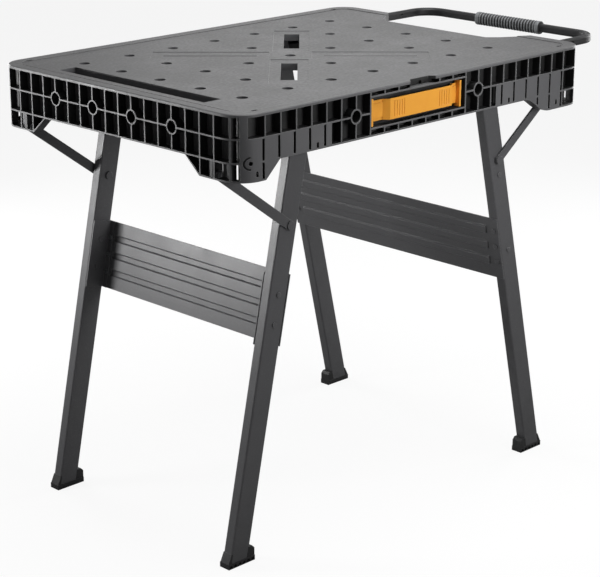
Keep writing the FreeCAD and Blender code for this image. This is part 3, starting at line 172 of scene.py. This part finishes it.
class WorkbenchStage(bpy.types.PropertyGroup):
    floor: colour("#A2A2A2", "Floor", "Pale floor of the studio, as it throws light back")
    glow: share(0.9, "Floor glow", "How far the floor is lifted to white for the camera")
    mirrored: share(0.35, "Mirrored room", "Brightness of the surroundings in reflections")
    ambient: share(0.07, "Ambient light", "Brightness of the surroundings as they light the bench")
    lens: length(111.9, "Lens", "Focal length of the camera")
    azimuth: angle(-44.92, "Azimuth", "Turn of the camera")
    elevation: angle(17.90, "Elevation", "Height angle of the camera")
    position: bpy.props.FloatVectorProperty(name="Position", description="Place of the camera",
                                            subtype="TRANSLATION", unit="LENGTH",
                                            default=(-2.3632, -2.2880, 1.3858))


# Patterns, all in the bench's own frame, with sizes in millimetres

def patches(tree, size, low=0.3, high=0.7, start=0.0, end=1.0, detail=3.0):
    """A share in soft patches about one size across: start where noise is low, end where high."""
    place = add(tree, "TexCoord").outputs["Object"]
    noise = add(tree, "TexNoise", {"Vector": place, "Scale": 1 / (size * MM), "Detail": detail})
    return add(tree, "MapRange", {"Value": noise, "From Min": low, "From Max": high,
                                  "To Min": start, "To Max": end})


def sliding_marks(tree, along=140.0, across=1.6, strongest=0.22):
    """The share of scuff in the long thin marks along X that boards leave as they are slid.

    It follows noise drawn out by one size along X and Z, and by the other across.
    """
    place = add(tree, "TexCoord").outputs["Object"]
    drawn = add(tree, "Mapping", {"Vector": place, "Scale": (
        1 / (along * MM), 1 / (across * MM), 1 / (along * MM))})
    noise = add(tree, "TexNoise", {"Vector": drawn, "Scale": 1.0, "Detail": 2.0})
    return add(tree, "MapRange", {"Value": noise, "From Min": 0.62, "From Max": 0.72,
                                  "To Max": strongest})


def rubbed_edges(tree, radius, patchy):
    """The share of coat that is rubbed off within a radius of an edge, times a patchy share.

    An edge is where the normal of a shape rounded by the radius leaves the face's own normal:
    the share is 1 less their dot product, from 0 at 0.03 to 1 at 0.25.
    """
    rounded = add(tree, "Bevel", {"Radius": radius * MM}, samples=4)
    flat = add(tree, "NewGeometry").outputs["True Normal"]
    dot = add(tree, "VectorMath", {0: rounded, 1: flat}, operation="DOT_PRODUCT")
    turn = add(tree, "Math", {0: 1.0, 1: dot}, operation="SUBTRACT")
    edge = add(tree, "MapRange", {"Value": turn, "From Min": 0.03, "From Max": 0.25})
    return add(tree, "Math", {0: edge, 1: patchy}, operation="MULTIPLY")


def fine_relief(tree, size, depth, radius):
    """A normal with bumps of one size and depth, and every edge rounded by a radius.

    The real grain of most of these surfaces is too fine to show in the render, so each material
    gives it as coarse as it needs to show.
    """
    place = add(tree, "TexCoord").outputs["Object"]
    noise = add(tree, "TexNoise", {"Vector": place, "Scale": 1 / (size * MM), "Detail": 2.0})
    rounded = add(tree, "Bevel", {"Radius": radius * MM}, samples=4)
    return add(tree, "Bump", {"Height": noise, "Distance": depth * MM, "Strength": 1.0,
                              "Normal": rounded})


def layered(tree, base, *layers):
    """A colour with layers laid over it in turn, each a share and a colour."""
    for cover, over in layers:
        base = add(tree, "Mix", {"Factor": cover, "A": base, "B": over}, data_type="RGBA")
    return base


def depth_inside(tree, point, sizes):
    """How far a point lies inside the top's rounded outline, seen from above.

    With p the distances beyond the straight part of each side, that is the corner radius less
    the length of the positive parts of p, less the larger of p where both are negative.
    """
    radius = sizes.top_corner
    straight = (sizes.top_length / 2 - radius, sizes.top_width / 2 - radius, 0.0)
    away = add(tree, "VectorMath", {0: point}, operation="ABSOLUTE")
    flat = add(tree, "VectorMath", {0: away, 1: (1.0, 1.0, 0.0)}, operation="MULTIPLY")
    beyond = add(tree, "VectorMath", {0: flat, 1: straight}, operation="SUBTRACT")
    outside = add(tree, "VectorMath", {0: beyond, 1: (0.0, 0.0, 0.0)}, operation="MAXIMUM")
    reach = add(tree, "VectorMath", {0: outside}, operation="LENGTH")
    axes = add(tree, "SeparateXYZ", {"Vector": beyond}).outputs
    larger = add(tree, "Math", {0: axes["X"], 1: axes["Y"]}, operation="MAXIMUM")
    inner = add(tree, "Math", {0: larger, 1: 0.0}, operation="MINIMUM")
    gone = add(tree, "Math", {0: reach, 1: inner}, operation="ADD")
    return add(tree, "Math", {0: radius, 1: gone}, operation="SUBTRACT")


def top_zones(tree, sizes):
    """Shares of the zones of the moulded top: inner walls, end bays, rib edges and deck, whose
    colours are painted light and shade, and the painted shade in the grooves.

    Each band goes from 0 to 1 between its two bounds. A zone is one band or a product of some.
    """
    low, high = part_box("worktop")
    place = add(tree, "TexCoord").outputs["Object"]
    point = add(tree, "VectorMath", {0: place, 1: tuple((low + high) / 2)}, operation="SUBTRACT")
    axes = add(tree, "SeparateXYZ", {"Vector": point}).outputs
    facing = add(tree, "NewGeometry").outputs["True Normal"]
    normal = add(tree, "SeparateXYZ", {"Vector": facing}).outputs
    inside = depth_inside(tree, point, sizes)
    from_middle = add(tree, "Math", {0: axes["X"]}, operation="ABSOLUTE")
    sideways = add(tree, "Math", {0: normal["X"]}, operation="ABSOLUTE")
    end = sizes.top_length / 2
    rim = (high.z - low.z) / 2
    tray = rim - sizes.tray_depth
    arm = rim - sizes.arm_floor
    bounds = {
        "behind the bays": (inside, 19 * MM, 24 * MM),
        "rib edges": (inside, 1.4 * MM, 0.6 * MM),
        "near the ends": (from_middle, end - 20 * MM, end - 18 * MM),
        "facing an end": (sideways, 0.85, 0.95),
        "facing up": (normal["Z"], 0.5, 0.9),
        "above the tray": (axes["Z"], tray - 3 * MM, tray - 1 * MM),
        "below the cross": (axes["Z"], arm - 0.3 * MM, arm - 0.9 * MM),
        "in its grooves": (axes["Z"], arm - 6 * MM, arm - 4 * MM),
    }
    band = {name: add(tree, "MapRange", {"Value": value, "From Min": none, "From Max": whole})
            for name, (value, none, whole) in bounds.items()}
    # Painted light on the back walls of the end bays: the faces near each end that face it.
    ends = add(tree, "Math", {0: band["near the ends"], 1: band["facing an end"]},
               operation="MULTIPLY")
    # Painted light from above: the upward faces above the tray.
    deck = add(tree, "Math", {0: band["facing up"], 1: band["above the tray"]},
               operation="MULTIPLY")
    # Painted shade: upward faces in the grooves below the cross's floor are painted near black.
    grooves = add(tree, "Math", {0: band["below the cross"], 1: band["in its grooves"]},
                  operation="MULTIPLY")
    groove_shade = add(tree, "Math", {0: grooves, 1: deck}, operation="MULTIPLY")
    return band["behind the bays"], ends, band["rib edges"], deck, groove_shade


# Materials

def moulded_polypropylene(finish, sizes):
    """Glass filled polypropylene from a spark eroded mould.

    The eye sees a dull black with a dry sheen, and a scuffed and dusty upper face. Light and shade
    are partly painted into the colour: the upward faces are painted lighter as if lit from above,
    the fine grooves and the bays of the long sides are painted dark as shade, the inner walls and
    the back walls of the end bays are painted lighter as if lit, and the rib edges and the deck's
    edges are painted pale, partly as a highlight and partly as patchy rubbed wear. The eroded grain
    is about 0.2 mm wide on the real top and drawn 3.5 mm wide.
    """
    material, tree = new_material("moulded_polypropylene")
    inner, ends, edges, deck, groove_shade = top_zones(tree, sizes)
    dust = patches(tree, 90, low=0.4, high=0.8, end=0.1, detail=4.0)
    scuffs = add(tree, "Math", {0: sliding_marks(tree), 1: deck}, operation="MULTIPLY")
    # Pale edges: partly patchy rubbed wear, partly a painted highlight, kept to the rib edges and
    # the deck.
    rubbed = rubbed_edges(tree, 1.2, patches(tree, 5, start=0.45, end=0.8, detail=2.0))
    painted_light_zones = add(tree, "Math", {0: edges, 1: deck}, operation="MAXIMUM")
    worn = add(tree, "Math", {0: rubbed, 1: painted_light_zones}, operation="MULTIPLY")
    # Painted shade in the side bays and grooves, painted light on the inner walls, end bays, rib
    # edges and deck; the dust and scuffs are real.
    base = layered(tree, finish.bays, (inner, finish.inner), (ends, finish.end_bays),
                   (edges, finish.skin), (deck, finish.deck), (groove_shade, linear("#0C0C0D")),
                   (dust, linear("#8C8C8A")), (scuffs, linear("#8E8E8C")),
                   (worn, linear("#A2A2A0")))
    clouds = patches(tree, 90, low=0.0, high=1.0, detail=4.0)
    grains = patches(tree, 5, low=0.0, high=1.0, detail=2.0)
    uneven = add(tree, "Math", {0: clouds, 1: grains}, operation="ADD")
    rough = add(tree, "MapRange", {"Value": uneven, "From Min": 0.7, "From Max": 1.3,
                                   "To Min": 0.38, "To Max": 0.56})
    surface = add(tree, "BsdfPrincipled", {
        "Base Color": base, "Roughness": rough, "IOR": 1.49,
        "Normal": fine_relief(tree, 3.5, depth=0.12, radius=0.8)})
    add(tree, "OutputMaterial", {"Surface": surface})
    return material


def powder_coat(finish):
    """Polyester powder coat baked onto steel tube and sheet.

    The eye sees charcoal with a satin sheen, a faint orange peel of 2.6 mm, as wide as it really
    is, and pale rubbed corners.
    """
    material, tree = new_material("powder_coated_steel")
    clouds = patches(tree, 60, end=0.22)
    specks = patches(tree, 2.6, low=0.56, high=0.72, end=0.16, detail=2.0)
    worn = rubbed_edges(tree, 1.3, patches(tree, 14, low=0.35, high=0.65, start=0.3, end=0.9))
    base = layered(tree, finish.coat, (clouds, linear("#4A4A4C")), (specks, linear("#88888A")),
                   (worn, linear("#9A9A9B")))
    surface = add(tree, "BsdfPrincipled", {
        "Base Color": base, "Roughness": patches(tree, 60, start=0.34, end=0.46), "IOR": 1.5,
        "Normal": fine_relief(tree, 2.6, depth=0.05, radius=1.2)})
    add(tree, "OutputMaterial", {"Surface": surface})
    return material


def satin_coat(finish):
    """Black satin coat sprayed on the bent tube of the carry handle.

    The eye sees near black with a soft long highlight, and edges rubbed to a dull grey. Its
    waviness is drawn 4 mm wide.
    """
    material, tree = new_material("satin_coated_tube")
    worn = rubbed_edges(tree, 0.9, patches(tree, 40, low=0.4, start=0.1, end=0.5))
    base = layered(tree, finish.bar, (patches(tree, 40), linear("#1F1F21")),
                   (worn, linear("#5A5A5C")))
    surface = add(tree, "BsdfPrincipled", {
        "Base Color": base, "Roughness": patches(tree, 40, start=0.44, end=0.56), "IOR": 1.5,
        "Normal": fine_relief(tree, 4, depth=0.03, radius=1.0)})
    add(tree, "OutputMaterial", {"Surface": surface})
    return material


def moulded_plastic(name, body, dark, pale, rough, depth):
    """Moulded plastic, nylon or polypropylene, from a lightly etched mould.

    The eye sees a body colour that clouds into a darker one, a fine texture and rubbed edges.
    The etched grain is drawn 2.5 mm wide, which is coarser than it is.
    """
    material, tree = new_material(name)
    worn = rubbed_edges(tree, 0.7, patches(tree, 25, low=0.4, start=0.15, end=0.6))
    base = layered(tree, body, (patches(tree, 25, end=0.4), dark), (worn, pale))
    surface = add(tree, "BsdfPrincipled", {
        "Base Color": base, "IOR": 1.49,
        "Roughness": patches(tree, 25, start=rough - 0.05, end=rough + 0.07),
        "Normal": fine_relief(tree, 2.5, depth, radius=0.6)})
    add(tree, "OutputMaterial", {"Surface": surface})
    return material


def plated_steel(name, body, dark, rough):
    """Drawn or rolled steel, zinc plated or blackened.

    The eye sees a metal with a faint cloudy bloom, whose rounded edges catch the light. Its grain
    is drawn 1.2 mm wide, which is coarser than it is.
    """
    material, tree = new_material(name)
    surface = add(tree, "BsdfPrincipled", {
        "Base Color": layered(tree, body, (patches(tree, 9), dark)), "Metallic": 1.0,
        "Roughness": patches(tree, 9, start=rough - 0.08, end=rough + 0.08),
        "Normal": fine_relief(tree, 1.2, depth=0.02, radius=0.4)})
    add(tree, "OutputMaterial", {"Surface": surface})
    return material


def ribbed_rubber(finish):
    """Soft thermoplastic rubber moulded in ribs.

    The eye sees matt pale rib tops and nearly black grooves between them. The share of pale is
    read from the height above the tube, kept in the mesh. The grain is drawn 1.6 mm wide, which is
    coarser than it is.
    """
    material, tree = new_material("ribbed_rubber")
    height = add(tree, "Attribute", attribute_name="rib_height").outputs["Fac"]
    raised = add(tree, "MapRange", {"Value": height, "From Min": 0.35, "From Max": 0.85})
    tops = layered(tree, finish.grip, (patches(tree, 18, end=0.35), linear("#626466")))
    surface = add(tree, "BsdfPrincipled", {
        "Base Color": layered(tree, linear("#1A1A1B"), (raised, tops)), "IOR": 1.52,
        "Roughness": patches(tree, 18, start=0.5, end=0.66),
        "Normal": fine_relief(tree, 1.6, depth=0.05, radius=0.3)})
    add(tree, "OutputMaterial", {"Surface": surface})
    return material


# Surfaces worked out with numpy

def tube_skin(name, rings, material):
    """A closed skin over rings of points, one ring a row, with each end ring filled."""
    rows, count = rings.shape[:2]
    row, point = np.meshgrid(np.arange(rows - 1), np.arange(count), indexing="ij")
    after = (point + 1) % count
    sides = np.stack([row * count + point, (row + 1) * count + point,
                      (row + 1) * count + after, row * count + after], axis=-1).reshape(-1, 4)
    first = np.arange(count)
    last = ((rows - 1) * count + first)[::-1]
    mesh = bpy.data.meshes.new(name)
    mesh.from_pydata(rings.reshape(-1, 3).tolist(), [],
                     sides.tolist() + [first.tolist(), last.tolist()])
    mesh.polygons.foreach_set("use_smooth", np.ones(len(mesh.polygons), dtype=bool))
    mesh.materials.append(material)
    piece = bpy.data.objects.new(name, mesh)
    bpy.context.scene.collection.objects.link(piece)
    return piece


def rounded_ring(half_width, half_height, radius, per_corner=9):
    """Points round a rounded rectangle: each corner's centre plus radius times cos and sin."""
    turn = (np.arange(4)[:, None] + np.linspace(0, 1, per_corner)[None, :]) * math.pi / 2
    sign_x = np.array([1, -1, -1, 1])[:, None]
    sign_z = np.array([1, 1, -1, -1])[:, None]
    across = sign_x * (half_width - radius) + radius * np.cos(turn)
    upward = sign_z * (half_height - radius) + radius * np.sin(turn)
    return across.ravel(), upward.ravel()


def ribbed_grip(sizes, material, rings_per_rib=12):
    """The soft grip: the tube's section grown by a height that runs in ribs along Y.

    The height is the wall plus the rib height times the fourth root of the positive part of a
    cosine of Y, which turns once a rib. A rounded collar of full height closes each end.
    """
    low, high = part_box("handle_grip")
    middle = (low + high) / 2
    tallest = (high.x - low.x - sizes.tube_width) / 2
    thinnest = 0.2 * MM
    half = (high.y - low.y) / 2
    ribbed = half - sizes.grip_collar
    count = round(2 * ribbed / sizes.grip_rib_pitch)
    y = np.linspace(-ribbed, ribbed, count * rings_per_rib + 1)
    ribs = np.maximum(np.cos((y + ribbed) / ribbed * math.pi * count + math.pi), 0) ** 0.25
    # Places on a collar from its end face inwards, each with its share of the rib height
    collar = np.array([(half, -3.0), (half, 0.1), (half - 0.7 * MM, 0.82), (half - 2.2 * MM, 1.0),
                       (ribbed + 1.2 * MM, 1.0), (ribbed, 0.7)])
    along = np.concatenate([-collar[:, 0], y[1:-1], collar[::-1, 0]])
    height = np.concatenate([collar[:, 1], ribs[1:-1], collar[::-1, 1]])
    grow = tallest - sizes.grip_rib_height + height * sizes.grip_rib_height
    grow = np.maximum(grow, thinnest)[:, None]
    across, upward = rounded_ring(sizes.tube_width / 2, sizes.tube_height / 2, sizes.tube_corner)
    # A ring with no straight parts gives the directions outwards
    turn_x, turn_z = rounded_ring(1.0, 1.0, 1.0)
    rings = np.stack([middle.x + across + turn_x * grow,
                      np.broadcast_to((middle.y + along)[:, None], (len(along), len(across))),
                      middle.z + upward + turn_z * grow], axis=-1)
    piece = tube_skin("carry_grip", rings, material)
    mark = piece.data.attributes.new("rib_height", "FLOAT", "POINT")
    marks = np.repeat(np.clip(height, 0, 1), len(across))
    mark.data.foreach_set("value", marks.astype(np.float32))
    return piece


# Pieces

class WORKBENCH_OT_worktop(bpy.types.Operator):
    """Dresses the moulded top"""
    bl_idname = "workbench.worktop"
    bl_label = "Moulded top"

    def execute(self, context):
        scene = context.scene
        material = moulded_polypropylene(scene.workbench_finish, scene.workbench_sizes)
        dress(["worktop"], material)
        return {"FINISHED"}


class WORKBENCH_OT_frames(bpy.types.Operator):
    """Dresses the two leg frames with their panels, braces and feet"""
    bl_idname = "workbench.frames"
    bl_label = "Leg frames"

    def execute(self, context):
        finish = context.scene.workbench_finish
        coat = powder_coat(finish)
        foot = moulded_plastic("foot_plastic", finish.foot, dark=linear("#19191A"),
                               pale=linear("#5C5C5C"), rough=0.5, depth=0.1)
        for name in ("left", "right"):
            dress(both(name + "_leg_%s") + both(name + "_brace_%s"), coat)
            dress([name + "_cross_panel", name + "_side_rivets", name + "_brace_bolts"], coat)
            dress(both(name + "_foot_%s"), foot)
        dress(both("panel_bracket_%s") + ["right_panel_rivets"], coat)
        return {"FINISHED"}


class WORKBENCH_OT_hardware(bpy.types.Operator):
    """Dresses the rails, slides, saddles, pins and screws"""
    bl_idname = "workbench.hardware"
    bl_label = "Slides and fasteners"

    def execute(self, context):
        finish = context.scene.workbench_finish
        zinc = plated_steel("zinc_plated_steel", finish.zinc, dark=linear("#8E9194"), rough=0.3)
        steel = plated_steel("blackened_steel", finish.rail, dark=linear("#1D1E20"), rough=0.42)
        slide = moulded_plastic("slide_nylon", finish.slide, dark=linear("#202022"),
                                pale=linear("#59595B"), rough=0.4, depth=0.04)
        dress(["left_slide_rod", "right_slide_pins", "latch_shanks", "release_bar_left",
               "release_bar_right", "rail_screws", "sleeve_screws", "handle_stop_pins",
               "left_panel_rivets"], zinc)
        dress(both("left_rail_%s") + both("right_rail_%s"), steel)
        dress(both("handle_sleeve_%s") + both("left_slide_bush_%s"), slide)
        dress(both("right_slide_block_%s") + both("release_bar_guide_%s", ("left", "right")), slide)
        for name in ("left", "right"):
            dress(both(name + "_saddle_%s"), slide)
            dress([name + "_brace_stubs"], zinc)
        return {"FINISHED"}


class WORKBENCH_OT_handle(bpy.types.Operator):
    """Dresses the carry handle and makes its grip"""
    bl_idname = "workbench.handle"
    bl_label = "Carry handle"

    def execute(self, context):
        finish = context.scene.workbench_finish
        dress(["carry_handle"], satin_coat(finish))
        grip = ribbed_grip(context.scene.workbench_sizes, ribbed_rubber(finish))
        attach(grip, "carry_handle")
        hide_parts("handle_grip")
        return {"FINISHED"}


class WORKBENCH_OT_latch(bpy.types.Operator):
    """Dresses the release latch in the front skirt"""
    bl_idname = "workbench.latch"
    bl_label = "Latch"

    def execute(self, context):
        finish = context.scene.workbench_finish
        nylon = moulded_plastic("latch_nylon", finish.latch, dark=linear("#E39526"),
                                pale=linear("#F6BC66"), rough=0.36, depth=0.05)
        dress(["latch_handle"], nylon)
        return {"FINISHED"}


class WORKBENCH_OT_stage(bpy.types.Operator):
    """Makes the floor, the soft lights, the pale surroundings and the camera"""
    bl_idname = "workbench.stage"
    bl_label = "Studio"

    def execute(self, context):
        stage = context.scene.workbench_stage
        floor(stage)
        surroundings(stage)
        softbox("key", at=(-1.2, 0.8, 0.67), towards=(-0.5, 0.05, 0.56),
                size=0.35, power=2.7, beam=86.0)
        softbox("top", at=(0.0, -0.38, 2.2), towards=(-0.08, -0.1, 0.7), size=1.2, power=35.0)
        softbox("fill", at=(0.1, -1.7, 1.0), towards=(0.0, -0.3, 0.8),
                size=0.6, power=1.7, beam=56.0)
        softbox("right", at=(2.0, -0.1, 0.8), towards=(0.2, 0.0, 0.45), size=1.0, power=20.0)
        softbox("sheen", at=(1.7, 1.7, 1.75), towards=(0.0, 0.0, 0.78), size=1.2, power=4.5)
        softbox("rear", at=(-0.1, 2.0, 0.8), towards=(-0.08, 0.2, 0.45), size=1.0, power=20.0)
        camera(stage)
        context.scene.view_settings.view_transform = "Standard"
        return {"FINISHED"}


def seen_directly(tree):
    """1 for the rays that the camera sends, straight or through something clear, and else 0."""
    rays = add(tree, "LightPath").outputs
    return add(tree, "Math", {0: rays["Is Camera Ray"], 1: rays["Is Transmission Ray"]},
               operation="MAXIMUM")


def floor(stage):
    """A flat square that the bench stands on, nearly white to the camera but for its shadow."""
    edge = 30.0
    mesh = bpy.data.meshes.new("studio_floor")
    mesh.from_pydata([(-edge, -edge, 0), (edge, -edge, 0), (edge, edge, 0), (-edge, edge, 0)],
                     [], [(0, 1, 2, 3)])
    ground = bpy.data.objects.new("studio_floor", mesh)
    bpy.context.scene.collection.objects.link(ground)
    material, tree = new_material("pale_paper")
    seen = seen_directly(tree)
    paper = add(tree, "BsdfPrincipled", {"Base Color": layered(tree, stage.floor, (seen, WHITE)),
                                         "Roughness": 1.0, "Specular IOR Level": 0.0})
    lifted = add(tree, "Math", {0: seen, 1: stage.glow}, operation="MULTIPLY")
    glow = add(tree, "Emission", {"Color": WHITE, "Strength": 1.0})
    add(tree, "OutputMaterial", {
        "Surface": add(tree, "MixShader", {0: lifted, 1: paper, 2: glow})})
    mesh.materials.append(material)


def surroundings(stage):
    """Surroundings that are white to the camera, greyer in reflections, and faint as light."""
    world = bpy.data.worlds.new("studio_room")
    bpy.context.scene.world = world
    world.use_nodes = True
    tree = world.node_tree
    tree.nodes.clear()
    glossy = add(tree, "LightPath").outputs["Is Glossy Ray"]
    mirrored = add(tree, "Math", {0: glossy, 1: stage.mirrored}, operation="MULTIPLY")
    bright = add(tree, "Math", {0: seen_directly(tree), 1: mirrored}, operation="MAXIMUM")
    strength = add(tree, "Math", {0: bright, 1: stage.ambient}, operation="MAXIMUM")
    add(tree, "OutputWorld", {
        "Surface": add(tree, "Background", {"Color": WHITE, "Strength": strength})})


def softbox(name, at, towards, size, power, beam=180.0):
    """A square soft light of a size in metres, a power in watts and a beam in degrees."""
    light = bpy.data.lights.new(name, "AREA")
    light.shape = "SQUARE"
    light.size = size
    light.energy = power
    light.spread = math.radians(beam)
    lamp = bpy.data.objects.new(name, light)
    bpy.context.scene.collection.objects.link(lamp)
    lamp.visible_camera = False
    lamp.location = at
    lamp.rotation_euler = (Vector(towards) - Vector(at)).to_track_quat("-Z", "Y").to_euler()


def camera(stage):
    """The camera of the photograph: it looks back along its azimuth and elevation."""
    lens = bpy.data.cameras.new("camera")
    lens.lens = stage.lens / MM
    lens.sensor_width = 36.0
    lens.clip_end = 100.0
    eye = bpy.data.objects.new("camera", lens)
    bpy.context.scene.collection.objects.link(eye)
    flat = math.cos(stage.elevation)
    back = Vector((math.sin(stage.azimuth) * flat, -math.cos(stage.azimuth) * flat,
                   math.sin(stage.elevation)))
    eye.location = stage.position
    eye.rotation_euler = back.to_track_quat("Z", "Y").to_euler()
    bpy.context.scene.camera = eye


class WORKBENCH_PT_panel(bpy.types.Panel):
    """Lists the sizes, colours and pieces of the bench in the sidebar"""
    bl_label = "Workbench"
    bl_idname = "WORKBENCH_PT_panel"
    bl_space_type = "VIEW_3D"
    bl_region_type = "UI"
    bl_category = "Workbench"

    def draw(self, context):
        for group in (context.scene.workbench_sizes, context.scene.workbench_finish,
                      context.scene.workbench_stage):
            for key in group.__annotations__:
                self.layout.prop(group, key)
        for operator in operators:
            self.layout.operator(operator.bl_idname)


operators = (WORKBENCH_OT_worktop, WORKBENCH_OT_frames, WORKBENCH_OT_hardware,
             WORKBENCH_OT_handle, WORKBENCH_OT_latch, WORKBENCH_OT_stage)
groups = (WorkbenchFinish, WorkbenchSizes, WorkbenchStage)


def register():
    for made in groups + operators + (WORKBENCH_PT_panel,):
        bpy.utils.register_class(made)
    bpy.types.Scene.workbench_finish = bpy.props.PointerProperty(type=WorkbenchFinish)
    bpy.types.Scene.workbench_sizes = bpy.props.PointerProperty(type=WorkbenchSizes)
    bpy.types.Scene.workbench_stage = bpy.props.PointerProperty(type=WorkbenchStage)


def unregister():
    for name in ("workbench_finish", "workbench_sizes", "workbench_stage"):
        delattr(bpy.types.Scene, name)
    for made in reversed(groups + operators + (WORKBENCH_PT_panel,)):
        bpy.utils.unregister_class(made)


def main():
    register()
    bpy.ops.workbench.worktop()
    bpy.ops.workbench.frames()
    bpy.ops.workbench.hardware()
    bpy.ops.workbench.handle()
    bpy.ops.workbench.latch()
    bpy.ops.workbench.stage()


if __name__ == "__main__":
    main()
